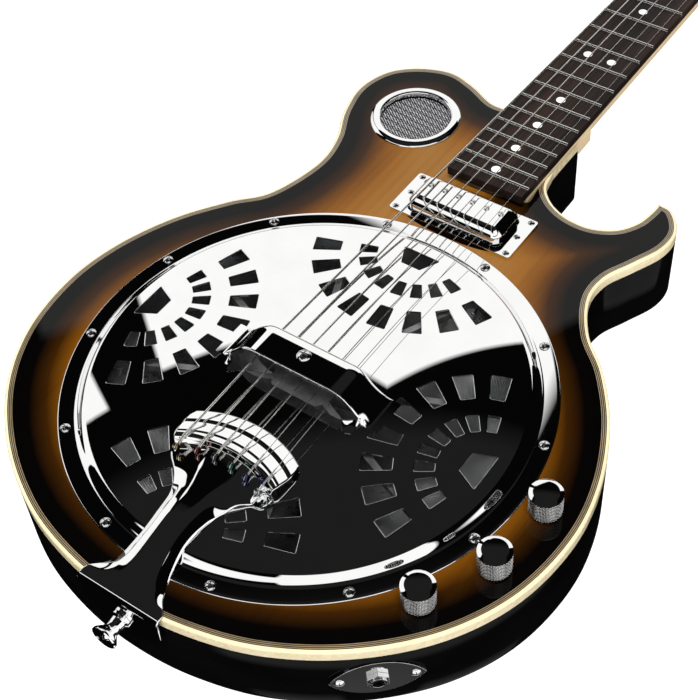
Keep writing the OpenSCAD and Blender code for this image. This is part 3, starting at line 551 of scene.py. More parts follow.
def cleaned(node):
    """Editable copy of a CAD node's mesh, with doubled points merged."""
    bm = bmesh.new()
    bm.from_mesh(frame["nodes"][node].data)
    bmesh.ops.remove_doubles(bm, verts=bm.verts, dist=2e-6)
    return bm


def refine(node):
    """A clean copy of a CAD node with its flat faces whole and its edges broken."""
    bm = cleaned(node)
    bmesh.ops.dissolve_limit(bm, angle_limit=math.radians(0.6), verts=bm.verts, edges=bm.edges)
    mesh = bpy.data.meshes.new(node + "_finished")
    bm.to_mesh(mesh)
    bm.free()
    for layer in [a.name for a in mesh.attributes if a.name in ("custom_normal", "sharp_face", "sharp_edge")]:
        mesh.attributes.remove(mesh.attributes[layer])
    piece = dress(node + "_finished", mesh, SLOT_OF[node], (node,), BODY_OF[node])
    modifier = piece.modifiers.new("edges", "BEVEL")
    modifier.width = 0.15 * MM
    modifier.segments = 2
    modifier.limit_method = "ANGLE"
    modifier.angle_limit = math.radians(40)
    modifier.use_clamp_overlap = True
    modifier.harden_normals = True


def turn(profile, count, name, slot, *nodes, matrix, sharp=35):
    """Lathe: closed (radius, height) points turned round the matrix's Z axis."""
    points = [matrix @ Vector((r * p.x, r * p.y, z)) for p in circle(1, count) for r, z in profile]
    return new_piece(name, points, skin(count, len(profile), True, True), slot, *nodes, sharp=sharp)


def ring_rows(ring, rows):
    """The ring at each (inset, height), one row after another."""
    normals = outward(ring)
    return [(p.x - q.x * inset, p.y - q.y * inset, z) for inset, z in rows for p, q in zip(ring, normals)]


def sweep(ring, profile, name, slot, *nodes):
    """Solid strip round a closed path; profile is closed (inset, height) points."""
    faces = skin(len(profile), len(ring), True, True, flip=True)
    return new_piece(name, ring_rows(ring, profile), faces, slot, *nodes)


def stack(ring, rows, name, slot, *nodes, sharp=40):
    """Closed solid: the ring at each (inset, height), with a flat cap at both ends."""
    piece = new_piece(name, ring_rows(ring, rows), capped(len(rows), len(ring)), slot, *nodes, sharp=sharp)
    for cap in list(piece.data.polygons)[-2:]:
        cap.use_smooth = False


def slab(name, rings, level, thickness, slot, *nodes, extra=()):
    """Flat plate: filled rings at a height, with walls and an underside."""
    xy, triangles = fill(rings, extra)
    n = len(xy)
    points = [(x, y, level) for x, y in xy] + [(x, y, level - thickness) for x, y in xy]
    edges = {(triangle[i - 1], triangle[i]) for triangle in triangles for i in range(3)}
    faces = triangles + [(c + n, b + n, a + n) for a, b, c in triangles]
    faces += [(b, a, a + n, b + n) for a, b in sorted(edges) if (b, a) not in edges]
    return new_piece(name, points, faces, slot, *nodes), xy


def subtract(piece, low, high):
    """Cuts the box between two corners, in mm, out of a piece."""
    points = [(x, y, z) for x in (low[0], high[0]) for y in (low[1], high[1]) for z in (low[2], high[2])]
    faces = [(0, 1, 3, 2), (4, 6, 7, 5), (0, 4, 5, 1), (2, 3, 7, 6), (0, 2, 6, 4), (1, 5, 7, 3)]
    cutter = bpy.data.objects.new("cutter", mesh_of("cutter", points, faces))
    scene.collection.objects.link(cutter)
    modifier = piece.modifiers.new("cut", "BOOLEAN")
    modifier.operation = "DIFFERENCE"
    modifier.solver = "EXACT"
    modifier.object = cutter
    bpy.context.view_layer.update()
    result = bpy.data.meshes.new_from_object(piece.evaluated_get(bpy.context.evaluated_depsgraph_get()))
    piece.modifiers.clear()
    piece.data = result
    result.polygons.foreach_set("use_smooth", [True] * len(result.polygons))
    result.set_sharp_from_angle(angle=math.radians(35))
    bpy.data.objects.remove(cutter)


# ---------------- outlines


def loops_at(node, level):
    """Outlines, in mm, of a CAD node's upward face at a height, longest first."""
    bm = cleaned(node)
    flat = {f for f in bm.faces
            if f.normal.z > 0.99 and all(abs(v.co.z / MM - level) < 0.02 for v in f.verts)}
    follow = {}
    for face in flat:
        for loop in face.loops:
            if not any(other in flat for other in loop.edge.link_faces if other is not face):
                follow[loop.vert] = loop.link_loop_next.vert
    loops = []
    while follow:
        vertex = next(iter(follow))
        ring = []
        while vertex in follow:
            ring.append(Vector((vertex.co.x / MM, vertex.co.y / MM)))
            vertex = follow.pop(vertex)
        loops.append(merged(ring))
    bm.free()
    return sorted(loops, key=lambda ring: -sum((ring[i] - ring[i - 1]).length for i in range(len(ring))))


def area(ring):
    return sum(ring[i - 1].x * ring[i].y - ring[i].x * ring[i - 1].y for i in range(len(ring))) / 2


def outward(ring):
    """Unit normal at each point of an anticlockwise ring, away from its inside."""
    along = [(ring[(i + 1) % len(ring)] - ring[i - 1]).normalized() for i in range(len(ring))]
    return [Vector((a.y, -a.x)) for a in along]


def round_corners(ring, radius, sharp=28, steps=5):
    """The ring with each sharp corner turned into a small arc."""
    out = []
    for i, here in enumerate(ring):
        a, b = here - ring[i - 1], ring[(i + 1) % len(ring)] - here
        if a.length < TINY or b.length < TINY:
            continue
        bend = a.angle(b)
        if math.degrees(bend) < sharp:
            out.append(here)
            continue
        reach = min(radius * math.tan(bend / 2), a.length * 0.45, b.length * 0.45)
        start, end = here - a.normalized() * reach, here + b.normalized() * reach
        for t in [k / steps for k in range(steps + 1)]:
            out.append((1 - t) ** 2 * start + 2 * t * (1 - t) * here + t ** 2 * end)
    return out


def resample(ring, spacing):
    """Even points along a smooth curve through the ring."""
    n = len(ring)
    out = []
    for i in range(n):
        a, b, c, d = ring[i - 1], ring[i], ring[(i + 1) % n], ring[(i + 2) % n]
        span = (c - b).length
        start = (c - a) / max((b - a).length + span, TINY) * span
        end = (d - b) / max((d - c).length + span, TINY) * span
        count = max(1, round(span / spacing))
        out += [hermite(k / count, b, c, start, end) for k in range(count)]
    return out


def merged(ring, least=0.08):
    """The ring without points that are closer together than a distance."""
    out = [ring[0]]
    for p in ring[1:]:
        if (p - out[-1]).length > least:
            out.append(p)
    return out if (out[0] - out[-1]).length > least else out[:-1]


# ---------------- filled areas


def inside(xy, rings):
    """Which points lie inside an odd number of rings."""
    hit = np.zeros(len(xy), bool)
    x, y = xy.T
    for ring in rings:
        r = np.array([(p.x, p.y) for p in ring])
        for (x0, y0), (x1, y1) in zip(r, np.roll(r, -1, axis=0)):
            if y0 != y1:
                hit ^= ((y0 > y) != (y1 > y)) & (x < (x1 - x0) * (y - y0) / (y1 - y0) + x0)
    return hit


def distance_to(xy, ring):
    """Distance from each point to a closed outline."""
    r = np.array([(p.x, p.y) for p in ring])
    best = np.full(len(xy), 1e9)
    for a, b in zip(r, np.roll(r, -1, axis=0)):
        d = b - a
        t = np.clip(((xy - a) @ d) / max(d @ d, 1e-9), 0, 1)
        best = np.minimum(best, np.hypot(*(xy - a - t[:, None] * d).T))
    return best


def fill(rings, extra=()):
    """Triangles that fill the area between rings, with extra points inside it."""
    points, edges = [], []
    for ring in rings:
        first = len(points)
        points += [Vector((p.x, p.y)) for p in ring]
        edges += [(first + i, first + (i + 1) % len(ring)) for i in range(len(ring))]
    points += [Vector(p) for p in extra]
    verts, _, faces, *_ = delaunay_2d_cdt(points, edges, [], 0, 1e-5)
    xy = np.array([(v.x, v.y) for v in verts])
    keep = inside(np.array([xy[list(face)].mean(0) for face in faces]), rings)
    return xy, [tuple(face) for face, kept in zip(faces, keep) if kept]


def grid_points(rings, spacing, clear):
    """Staggered points inside the rings and clear of their edges."""
    corners = np.array([(p.x, p.y) for p in rings[0]])
    low, high = corners.min(0), corners.max(0)
    rows = []
    for j, y in enumerate(np.arange(low[1], high[1], spacing * 0.87)):
        xs = np.arange(low[0], high[0], spacing) + (j % 2) * spacing / 2
        rows.append(np.column_stack([xs, np.full(len(xs), y)]))
    xy = np.vstack(rows)
    xy = xy[inside(xy, rings)]
    for ring in rings:
        xy = xy[distance_to(xy, ring) > clear]
    return [tuple(p) for p in xy]


# ---------------- body

BINDING_LOW = box_mm("binding")[0].z
BACK_TOP = box_mm("body_back")[1].z
BINDING_WIDTH = 2.0
BURST_DEPTH = 62.0      # from the edge to the full amber


def body_outline():
    ring = loops_at("body_back", BACK_TOP)[0]
    if area(ring) < 0:
        ring.reverse()
    return merged(resample(round_corners(ring, 3.2), 1.6), 0.3)


OUTLINE = body_outline()


def add_body():
    """Binding and side walls round the outline, both cut away at the neck's pocket."""
    wall, edge, steps = 2.4, 1.3, 5
    turns = [math.pi / 2 * k / steps for k in range(steps + 1)]
    strip = [(edge * (1 - math.cos(a)), TOP - edge * (1 - math.sin(a))) for a in turns]
    strip += [(BINDING_WIDTH, TOP), (BINDING_WIDTH, BINDING_LOW), (0.0, BINDING_LOW)]
    sides = [(0.0, BACK_TOP), (0.0, BINDING_LOW - 0.25), (0.12, BINDING_LOW - 0.05), (0.3, BINDING_LOW),
             (wall, BINDING_LOW), (wall, BACK_TOP)]
    pieces = [sweep(OUTLINE, strip, "binding_strip", "binding_cream", "binding"),
              sweep(OUTLINE, sides, "side_walls", "black_lacquer", "body_sides")]
    half_width, start, floor = 27.0, 190.0, 39.0
    for piece in pieces:
        subtract(piece, (-half_width, start, floor), (half_width, start + 200, TOP + 20))


def add_back():
    """Back plate with a rounded lower edge."""
    radius = 2.0
    turns = [math.radians(a) for a in (90, 60, 30)]
    rows = [(radius * (1 - math.cos(a)), radius * (1 - math.sin(a))) for a in turns]
    rows += [(0.0, radius), (0.0, BACK_TOP - 0.02)]
    faces = capped(len(rows), len(OUTLINE))
    new_piece("back_plate", ring_rows(OUTLINE, rows), faces, "black_lacquer", "body_back", sharp=30)


def add_top():
    """Top with its holes, which knows at each point how deep it lies in the sunburst."""
    rings = [merged(resample(r, 2.0), 0.3) for r in loops_at("body_top", TOP)]
    rings = rings[:1] + [r for r in rings[1:] if abs(area(r)) > 60]
    extra = grid_points(rings, 4.0, 1.6)
    piece, xy = slab("top_plate", rings, TOP, 4.0, "sunburst_top", "body_top", extra=extra)
    neck = np.hypot(np.maximum(np.abs(xy[:, 0]) - 26, 0), np.maximum(192 - xy[:, 1], 0))
    treble = np.clip((xy[:, 0] + 20) / 30, 0, 1)
    depth = np.minimum(distance_to(xy, OUTLINE), (neck + 12) * treble + 90 * (1 - treble))
    paint(piece, "depth", np.tile(np.clip(depth / BURST_DEPTH, 0, 1), 2))


def add_purfling():
    """Inlaid strips, which know at each point how far across they lie."""
    width = 3.0
    rings = [merged(resample(r, 2.0), 0.25) for r in loops_at("purfling", TOP)]
    low, high = box_mm("purfling")
    piece, xy = slab("purfling_inlay", rings, TOP, high.z - low.z, "purfling_lines", "purfling")
    across = (distance_to(xy, OUTLINE) - BINDING_WIDTH) / width
    paint(piece, "across", np.tile(np.clip(across, 0.001, 0.999), 2))


add_body()
add_back()
add_top()
add_purfling()

# ---------------- coverplate

SHEET = 1.1
FAN_PIVOT = 117.0
FAN_STEP = math.radians(19)
CROWN_EDGE, CROWN_RADIUS = 5.4, 127.0
SHOULDER_START, SHOULDER_END = 125.2, 132.6
FLANGE_TOP, FLANGE_DISH = 1.15, 0.42
PLATE_LIP = 0.8         # radius of the rolled edge


def plate_height(r):
    """Height of the coverplate's face above the top, at a radius."""
    crown = PLATE_CROWN - (PLATE_CROWN - CROWN_EDGE) * (min(r, CROWN_RADIUS) / CROWN_RADIUS) ** 2.4
    flange = FLANGE_TOP - FLANGE_DISH * ratio(0, PLATE_R - SHOULDER_END, PLATE_R - PLATE_LIP - r)
    blend = smoothstep(SHOULDER_START, SHOULDER_END, r)
    return crown * (1 - blend) + flange * blend


def plate_at(x, y):
    return plate_height(math.hypot(x - PLATE_X, y - PLATE_Y))


def plate_normal(x, y):
    r = math.hypot(x, y)
    inner, outer = max(r - 0.05, 0), r + 0.05
    slope = (plate_height(outer) - plate_height(inner)) / (outer - inner)
    return Vector((-slope * x, -slope * y, max(r, TINY))).normalized()


def plate_holes():
    """The pierced pattern: four fans and the mouth under the hand rest."""
    keystone = [(-1, -12.5), (12, -6.5), (12, 6.5), (-1, 12.5)]
    small = [(26.5, -2.6), (37.5, -3.7), (37.5, 3.7), (26.5, 2.6)]
    large = [(49, -4), (66, -5.8), (66, 5.8), (49, 4)]
    shapes = [(keystone, 0.0)]
    for i in range(8):
        shapes += [(small, (i - 3.5) * FAN_STEP), (large, (i - 3.5) * FAN_STEP)]
    holes = []
    for quarter_turn in range(4):
        spin = Matrix.Rotation(quarter_turn * math.pi / 2, 2)
        for shape, angle in shapes:
            local = Matrix.Rotation(angle + math.pi, 2)
            ring = [spin @ (local @ Vector(p) + Vector((FAN_PIVOT, 0))) for p in shape]
            holes.append(round_corners(ring, 0.7, steps=3))
    mouth = [(-33, -15), (33, -15), (42, -8), (42, 8), (36, 11), (-36, 11), (-42, 8), (-42, -8)]
    holes.append(round_corners([Vector(p) for p in mouth], 3, steps=6))
    return [ring if area(ring) > 0 else ring[::-1] for ring in holes]


def add_coverplate():
    """Pressed sheet: pierced face, the walls of its holes, rolled rim and underside."""
    rim, edge = 121.0, 0.32
    walls = [resample(ring, 2.5) for ring in plate_holes()]
    lips = [[p + q * edge for p, q in zip(ring, outward(ring))] for ring in walls]
    outer = circle(rim, 300)
    xy, triangles = fill([outer] + lips, grid_points([outer] + lips, 3.4, 1.0))
    place_of = {(round(x, 3), round(y, 3)): i for i, (x, y) in enumerate(xy)}
    under = len(xy)
    points = [(x, y, plate_height(math.hypot(x, y))) for x, y in xy]
    points += [(x, y, z - SHEET) for x, y, z in points]
    faces = triangles + [(c + under, b + under, a + under) for a, b, c in triangles]

    def added(row):
        points.extend(row)
        return list(range(len(points) - len(row), len(points)))

    def join(ring, rows):
        """Walls from a ring on the face, by rows of new points, to the same ring of the underside."""
        start = [place_of[(round(p.x, 3), round(p.y, 3))] for p in ring]
        rings = [start] + [added(row) for row in rows] + [[index + under for index in start]]
        return list(zip(rings, rings[1:]))

    for lip, wall in zip(lips, walls):
        rows = [[(p.x, p.y, plate_height(p.length) - drop) for p in wall] for drop in (edge * 0.8, SHEET)]
        for upper, lower in join(lip, rows):
            faces += bridge(upper, lower)
    radii = list(np.arange(rim, SHOULDER_END + 0.3, 0.45)[1:]) + [134.5, 137.0, 139.5]
    profile = [(r, plate_height(r)) for r in radii]
    turns = [math.radians(a) for a in (0, 22, 45, 68, 90)]
    profile += [(PLATE_R - PLATE_LIP * (1 - math.sin(a)), FLANGE_TOP - PLATE_LIP * (1 - math.cos(a)))
                for a in turns]
    foot = 0.06
    profile += [(PLATE_R, foot), (131.0, foot), (125.0, plate_height(SHOULDER_START) - SHEET - 0.4)]
    for inner, after in join(outer, [[(p.x / rim * r, p.y / rim * r, z) for p in outer] for r, z in profile]):
        faces += bridge(after, inner)
    moved = [(x + PLATE_X, y + PLATE_Y, z + TOP) for x, y, z in points]
    mesh = new_piece("coverplate_shell", moved, faces, "chrome", "coverplate", sharp=30).data
    normals = []
    for polygon in mesh.polygons:
        for index in polygon.vertices:
            x, y, z = points[index]
            r = math.hypot(x, y)
            upward = polygon.normal.z > 0.2 and r < PLATE_R - PLATE_LIP + 0.01
            on_face = upward and abs(z - plate_height(r)) < 0.02
            normals.append(plate_normal(x, y) if on_face else Vector((0, 0, 0)))
    mesh.normals_split_custom_set(normals)


add_coverplate()

# ---------------- tailpiece

TAIL_LOW, TAIL_HIGH = box_mm("tailpiece")
FAN_RADIUS = 66.0
SHOULDER_TOP = 15.2     # of the raised corner on the treble side
# (distance behind the front edge, height above the top) along the middle of the tailpiece
tail_height = curve_through([
    (0.0, 13.2), (7.5, 14.35), (7.9, 14.36), (10.1, 14.3), (10.5, 14.34), (16.8, 15.42), (17.2, 15.44),
    (18.5, 15.4), (18.9, 15.46), (22.2, 15.8), (22.7, 15.6), (23.9, 13.0), (25.0, 12.5), (31.0, 12.42),
    (41.0, 12.7), (53.0, 13.2), (63.0, 13.7), (70.0, 13.6), (77.0, 12.7), (85.0, 10.9), (93.0, 8.5),
    (103.0, 5.4), (110.0, 3.5), (116.5, 2.2), (119.0, 1.7), (121.5, -0.5)])
# (distance behind the front edge, half width)
tail_width = curve_through([
    (0.0, 30.0), (5.0, 32.5), (9.0, 34.6), (16.0, 36.4), (28.0, 35.0), (38.0, 29.0), (49.0, 20.0),
    (63.0, 14.5), (79.0, 13.0), (94.0, 15.0), (107.0, 20.0), (118.0, 27.0), (121.5, 27.0)])


def bow(x):
    """How far a row of the fan curves back at x."""
    return FAN_RADIUS - math.sqrt(FAN_RADIUS ** 2 - min(abs(x), 50.0) ** 2)


def eased(value):
    """0 below zero, and a straight rise above it with a soft start."""
    value = max(value, 0.0)
    return value * value / (value + 0.06)


def tail_surface(x, s):
    """Height above the top at x across and s behind the front, along a bowed row."""
    width, middle = tail_width(s), tail_height(s)
    u = min(abs(x) / width, 1.0)
    slope = 0.15 + 0.10 * smoothstep(44, 58, s)
    drop = slope * eased(u - 0.3) * smoothstep(19, 28, s) + 0.72 * eased(u - 0.6) * smoothstep(44, 60, s)
    height = middle - drop * width * (1 - smoothstep(98, 115, s))
    shoulder = smoothstep(24.5, 30.5, x) * smoothstep(22, 27, s) * (1 - smoothstep(31, 40, s))
    return height + (SHOULDER_TOP - height) * shoulder * (middle < SHOULDER_TOP)


def add_tailpiece():
    """Sheet with a bowed, terraced fan, a crowned shank and a flared end."""
    sheet, bead, lip = 1.5, 0.8, 0.5
    fan_end, length = 30, 121.5
    rows = sorted(set(np.round(np.concatenate([
        [0.0, 0.08, 0.25, lip], np.arange(0.9, fan_end, 0.45), np.arange(fan_end, 117, 0.9),
        np.arange(116.6, length, 0.35), [length]]), 3)))
    edge_steps = [0.0, 0.07, 0.22, 0.45, bead]
    columns = 46
    top, bottom = [], []
    for s in rows:
        straighten = 1 - smoothstep(fan_end, 52, s)
        reach = tail_width(s)
        for _ in range(6):
            reach = tail_width(s + bow(reach) * straighten * (1 if s < fan_end else 0.6))
        right = [reach - step for step in edge_steps]
        middle = [right[-1] * math.sin(math.pi / 2 * (2 * k / columns - 1)) for k in range(1, columns)]
        top_row, bottom_row = [], []
        for x in [-x for x in right] + middle + right[::-1]:
            y = TAIL_HIGH.y - s - bow(x) * straighten
            z = TOP + tail_surface(x, s)
            side = reach - abs(x)
            roll = 0.7 * quarter(1 - ratio(0, bead, min(side, s)))
            pull = 0.35 if min(side, s) < lip else 0.0
            top_row.append((x, y, z - roll))
            bottom_row.append((x - math.copysign(pull, x) * (side < lip), y - pull * (s < lip), z - sheet))
        top.append(top_row)
        bottom.append(bottom_row)
    new_piece("tailpiece_sheet", *shell(top, bottom), "chrome", "tailpiece", sharp=50)


def add_tongue():
    """Shield that folds down over the side, with a rounded bottom."""
    half, start, drop, sheet = 27.0, -4.0, 29.5, 2.0
    right = [(half, -0.3), (half, start)]
    for a in [math.pi / 2 * k / 18 for k in range(1, 19)]:
        right.append((20.5 * math.cos(a) + 6.5 * math.cos(a) ** 5, 16.0 * (1 - math.sin(a)) - drop))
    ring = right + [(-x, z) for x, z in reversed(right)][1:]
    front = TAIL_LOW.y
    middle = Vector((0.0, -12.0))
    points = []
    rows = [(0.0, front + sheet), (0.0, front + 0.5), (0.15, front + 0.15), (0.5, front)]
    for inset, y in rows:
        for p in map(Vector, ring):
            q = p - (p - middle).normalized() * inset
            points.append((q.x, y, TOP + q.y))
    new_piece("tailpiece_tongue", points, capped(len(rows), len(ring)), "chrome", sharp=40)


add_tailpiece()
add_tongue()

# ---------------- hand rest

REST_LOW, REST_HIGH = box_mm("hand_rest")
REST_HALF = REST_HIGH.x
REST_TOP = REST_HIGH.z - TOP
REST_FLAT = 24.0                      # half width of the flat middle
REST_FOOT = 7.0                       # height at the feet
CHEEK_IN, CHEEK_OUT = 33.0, 44.0      # where the opening under the hand rest starts to close, and its corner


def rest_top(x):
    t = ratio(REST_FLAT, REST_HALF, abs(x)) ** 1.3
    return REST_TOP - (REST_TOP - REST_FOOT) * (1 - math.cos(math.pi * t)) / 2


def rest_point(x, y):
    """Heights above the top of the hand rest's face and of the coverplate below it."""
    front, back = REST_HIGH.y, REST_LOW.y
    lip, nose, gap = 0.5, 4.8, 0.02
    plate = plate_at(x, y)
    height = max(rest_top(x), plate + gap)
    over = height - plate
    foot = smoothstep(30, 42, abs(x))
    rounded = nose * (1 - foot) + over * foot if over > nose else over
    fall = quarter(ratio(0, 7.0, y - front + 7.0)) * rounded
    skirt = smoothstep(CHEEK_OUT, CHEEK_OUT + 2, abs(x))
    fall += quarter(ratio(0, 5.0, back + 5.0 - y)) * over * skirt
    roll = 0.35 * quarter(1 - ratio(0, lip, y - back))
    return max(height - fall - roll, plate + gap), plate


def add_hand_rest():
    """Pressed arch: rounded down towards the neck, and blended into the plate at both feet."""
    sheet = 1.15
    front, back = REST_HIGH.y, REST_LOW.y
    ys = [front - d for d in (0, 0.05, 0.2, 0.45, 0.8, 1.2, 1.7, 2.3, 3.0, 3.8, 4.7, 5.6, 6.5, 7.5, 8.6,
                              9.7, 10.8)]
    ys += list(np.linspace(front - 12, back + 5.5, 8))
    ys += [back + d for d in (5.0, 4.2, 3.4, 2.7, 2.0, 1.4, 0.9, 0.5, 0.2, 0.06, 0.0)]
    top, bottom = [], []
    for y in ys:
        row = [(x, *rest_point(x, y)) for x in np.linspace(-REST_HALF, REST_HALF, 141)]
        top.append([(x, y, TOP + z) for x, z, plate in row])
        bottom.append([(x, y, TOP + max(z - sheet, plate + 0.01)) for x, z, plate in row])
    points, faces = shell(top, bottom)
    piece = new_piece("hand_rest_shell", points, faces, "chrome", "hand_rest", sharp=50)
    piece.data.materials.append(MATERIALS["cast_aluminium"])
    for polygon in piece.data.polygons:
        polygon.material_index = int(min(polygon.vertices) >= len(points) // 2)


def add_cheek(name, side):
    """Sheet that rises from the plate to the end of the opening under the hand rest."""
    steps, rings = 24, 12
    top = []
    for i in range(steps + 1):
        x = CHEEK_IN + (CHEEK_OUT + 1.0 - CHEEK_IN) * i / steps
        t = ratio(CHEEK_IN, CHEEK_OUT, x)
        edge_y = REST_LOW.y - 3.0 * (1 - t * t)
        foot_y = edge_y - 1.5 - 6.5 * smoothstep(0, 0.8, t)
        base = plate_at(x, edge_y)
        edge_z = base + (rest_top(max(x, CHEEK_OUT)) - 1.2 - base) * t ** 1.6
        row = []
        for v in [j / rings for j in range(rings + 1)]:
            y = foot_y + (edge_y - foot_y) * v
            plate = plate_at(x, y)
            rise = v ** 2.2 * (1 - 0.12 * smoothstep(0.8, 1, v))
            row.append((side * x, y, TOP + max(plate + (edge_z - plate) * rise, plate) + 0.04))
        top.append(row)
    points, faces = shell(top, [[(x, y + 0.5, z - 0.9) for x, y, z in row] for row in top])
    if side < 0:
        faces = [face[::-1] for face in faces]
    new_piece(name, points, faces, "chrome", sharp=50)


def add_bridge_casting():
    """Rough cast bar that carries the saddle, seen under the hand rest."""
    half, depth, rise = 40.5, 7.6, 9.0
    around, along = 40, 60
    middle = Vector((0.0, 0.4, TOP + 1.6))
    points = []
    for t in [2 * i / along - 1 for i in range(along + 1)]:
        size = max(1 - abs(t) ** 3.2, 0.0) ** 0.55
        for p in circle(1, around):
            z = max(p.y, -0.8) * rise * (0.25 + 0.75 * size)
            points.append((half * t, middle.y + depth * p.x * size, middle.z + z))
    new_piece("bridge_casting", points, capped(along + 1, around), "cast_aluminium", sharp=60)


add_hand_rest()
add_cheek("hand_rest_cheek_bass", -1)
add_cheek("hand_rest_cheek_treble", 1)
add_bridge_casting()

# ---------------- knobs


def add_knob(node):
    """Barrel with a diamond knurl, a bright chamfer and a flat top."""
    low, high = box_mm(node)
    radius, height = (high.x - low.x) / 2, high.z - low.z
    depth, teeth = 0.34, 36
    around = 2 * teeth
    foot, rim = 0.7, height - 1.5
    count = round((rim - foot) / (0.8 * math.pi * radius / teeth))
    rows = [[(radius - 0.9, 0.0)] * around, [(radius - 0.42, foot * 0.7)] * around]
    first, last = len(rows), len(rows) + count
    for j in range(count + 1):
        z = foot + (rim - foot) * j / count
        rows.append([(radius - depth * ((j + k) % 2), z) for k in range(around)])
    for r, z in ((radius - 0.2, rim + 0.12), (radius - 0.05, rim + 0.3), (radius - 0.05, height - 1.05),
                 (radius - 0.45, height - 0.8), (radius * 0.76, height - 0.02), (radius * 0.74, height)):
        rows.append([(r, z)] * around)
    cx, cy = middle_of(node)
    points = [(cx + r * p.x, cy + r * p.y, low.z + z)
              for row in rows for p, (r, z) in zip(circle(1, around), row)]
    faces = []
    for index, (a, b, c, d) in enumerate(skin(len(rows), around, closed_columns=True, flip=True)):
        j, k = divmod(index, around)
        if not first <= j < last:
            faces.append((a, b, c, d))
        elif (j - first + k) % 2:
            faces += [(a, b, c), (a, c, d)]
        else:
            faces += [(a, b, d), (b, c, d)]
    faces += caps(len(rows), around)
    piece = new_piece(node + "_knurled", points, faces, SLOT_OF[node], node, body=BODY_OF[node], sharp=14)
    piece.data.materials.append(MATERIALS["chrome"])
    for polygon in piece.data.polygons:
        polygon.material_index = int(min(polygon.vertices) >= last * around)
    # Painted shade mask: points in the knurl's grooves get 0, which the material paints near black; the rest
    # get 1.
    shaded_groove = [first <= j <= last and (j - first + k) % 2 for j in range(len(rows)) for k in range(around)]
    paint(piece, "knurl", [float(not cut) for cut in shaded_groove])


for knob in ("volume_knob", "tone_knob", "blend_knob"):
    add_knob(knob)

# ---------------- pickup and sound hole


def rounded_rectangle(center, width, depth, radius, steps=10):
    ring = []
    for sx, sy, start in ((1, 1, 0), (-1, 1, 90), (-1, -1, 180), (1, -1, 270)):
        for a in [math.radians(start + 90 * k / steps) for k in range(steps + 1)]:
            ring.append(Vector((center[0] + sx * (width / 2 - radius) + radius * math.cos(a),
                                center[1] + sy * (depth / 2 - radius) + radius * math.sin(a))))
    return ring


def add_pickup_cover():
    """Pressed cover with broad sloping shoulders."""
    low, high = box_mm("pickup_cover")
    ring = rounded_rectangle(middle_of("pickup_cover"), high.x - low.x, high.y - low.y, 6.2)
    shoulder = [(0.0, 5.4), (0.12, 4.7), (0.35, 4.2), (3.2, 1.35), (3.8, 0.8), (4.5, 0.35), (5.2, 0.1),
                (5.9, 0.0)]
    rows = [(0.0, TOP - 3)] + [(inset, high.z - drop) for inset, drop in shoulder]
    stack(ring, rows, "pickup_cover_shell", "chrome", "pickup_cover", sharp=50)


def add_sound_hole_ring():
    """Broad, nearly flat chrome ring that rolls down to the wood."""
    low, high = box_mm("sound_hole_ring")
    outer, bottom, foot = (high.x - low.x) / 2, max(high.z - 3.2, low.z), TOP + 0.02
    face = [(7.0, 3.2), (6.9, 0.8), (6.5, 0.2), (6.0, 0.0), (4.5, 0.0), (2.6, 0.12), (1.6, 0.4),
            (0.8, 0.95), (0.3, 1.5)]
    profile = [(outer - 5.0, bottom), (outer - 5.0, foot), (outer, foot), (outer, TOP + 0.15)]
    profile += [(outer - inset, max(high.z - drop, low.z)) for inset, drop in reversed(face)]
    place = Matrix.Translation((*middle_of("sound_hole_ring"), 0))
    turn(profile, 128, "sound_hole_bezel", "chrome", "sound_hole_ring", matrix=place, sharp=50)


def add_screen():
    """Woven wires over a dark cloth."""
    low, high = box_mm("sound_hole_mesh")
    radius = (high.x - low.x) / 2
    pitch, half_wire, wave, margin = 1.3, 0.30, 0.17, 0.15
    center = middle_of("sound_hole_mesh")
    place = Matrix.Translation((*center, high.z - 0.36)) @ Matrix.Rotation(WEAVE_TURN, 4, "Z")
    count = int(radius / pitch)
    points, faces = [], []
    for across in (False, True):
        for line in range(-count, count + 1):
            offset = line * pitch
            half = math.sqrt(max(radius ** 2 - offset ** 2, 0)) - margin
            if half < pitch:
                continue
            steps = max(2, int(4 * half / pitch))
            first = len(points)
            faces += [tuple(first + index for index in face) for face in skin(steps + 1, 3, flip=across)]
            for t in [half * (2 * k / steps - 1) for k in range(steps + 1)]:
                z = wave * math.cos(math.pi * (t / pitch + line + across))
                for side, rise in ((-half_wire, 0.0), (0.0, wave), (half_wire, 0.0)):
                    x, y = (offset + side, t) if across else (t, offset + side)
                    points.append(place @ Vector((x, y, z + rise)))
    new_piece("screen_wires", points, faces, "woven_mesh", sharp=60)
    cloth = [(0.0, low.z), (0.0, low.z + 0.12)]
    stack(circle(radius, 96, center), cloth, "screen_cloth", "woven_mesh", "sound_hole_mesh")


add_pickup_cover()
add_sound_hole_ring()
add_screen()

# ---------------- string ends

BALL_COLORS = [(0.30, 0.23, 0.12), (0.16, 0.02, 0.022), (0.04, 0.04, 0.05), (0.012, 0.07, 0.045),
               (0.035, 0.04, 0.11), (0.5, 0.5, 0.52)]
GAUGES = [0.71, 0.56, 0.45, 0.33, 0.22, 0.17]
WOUND_STRINGS = 4


def islands(node):
    """Middle of each separate solid of a CAD node, in mm, from left to right."""
    bm = cleaned(node)
    left = set(bm.verts)
    middles = []
    while left:
        group, edge = set(), [left.pop()]
        while edge:
            vertex = edge.pop()
            group.add(vertex)
            for link in vertex.link_edges:
                other = link.other_vert(vertex)
                if other in left:
                    left.discard(other)
                    edge.append(other)
        corners = np.array([v.co for v in group]) / MM
        middles.append(Vector((corners.min(0) + corners.max(0)) / 2))
    bm.free()
    return sorted(middles, key=lambda p: p.x)


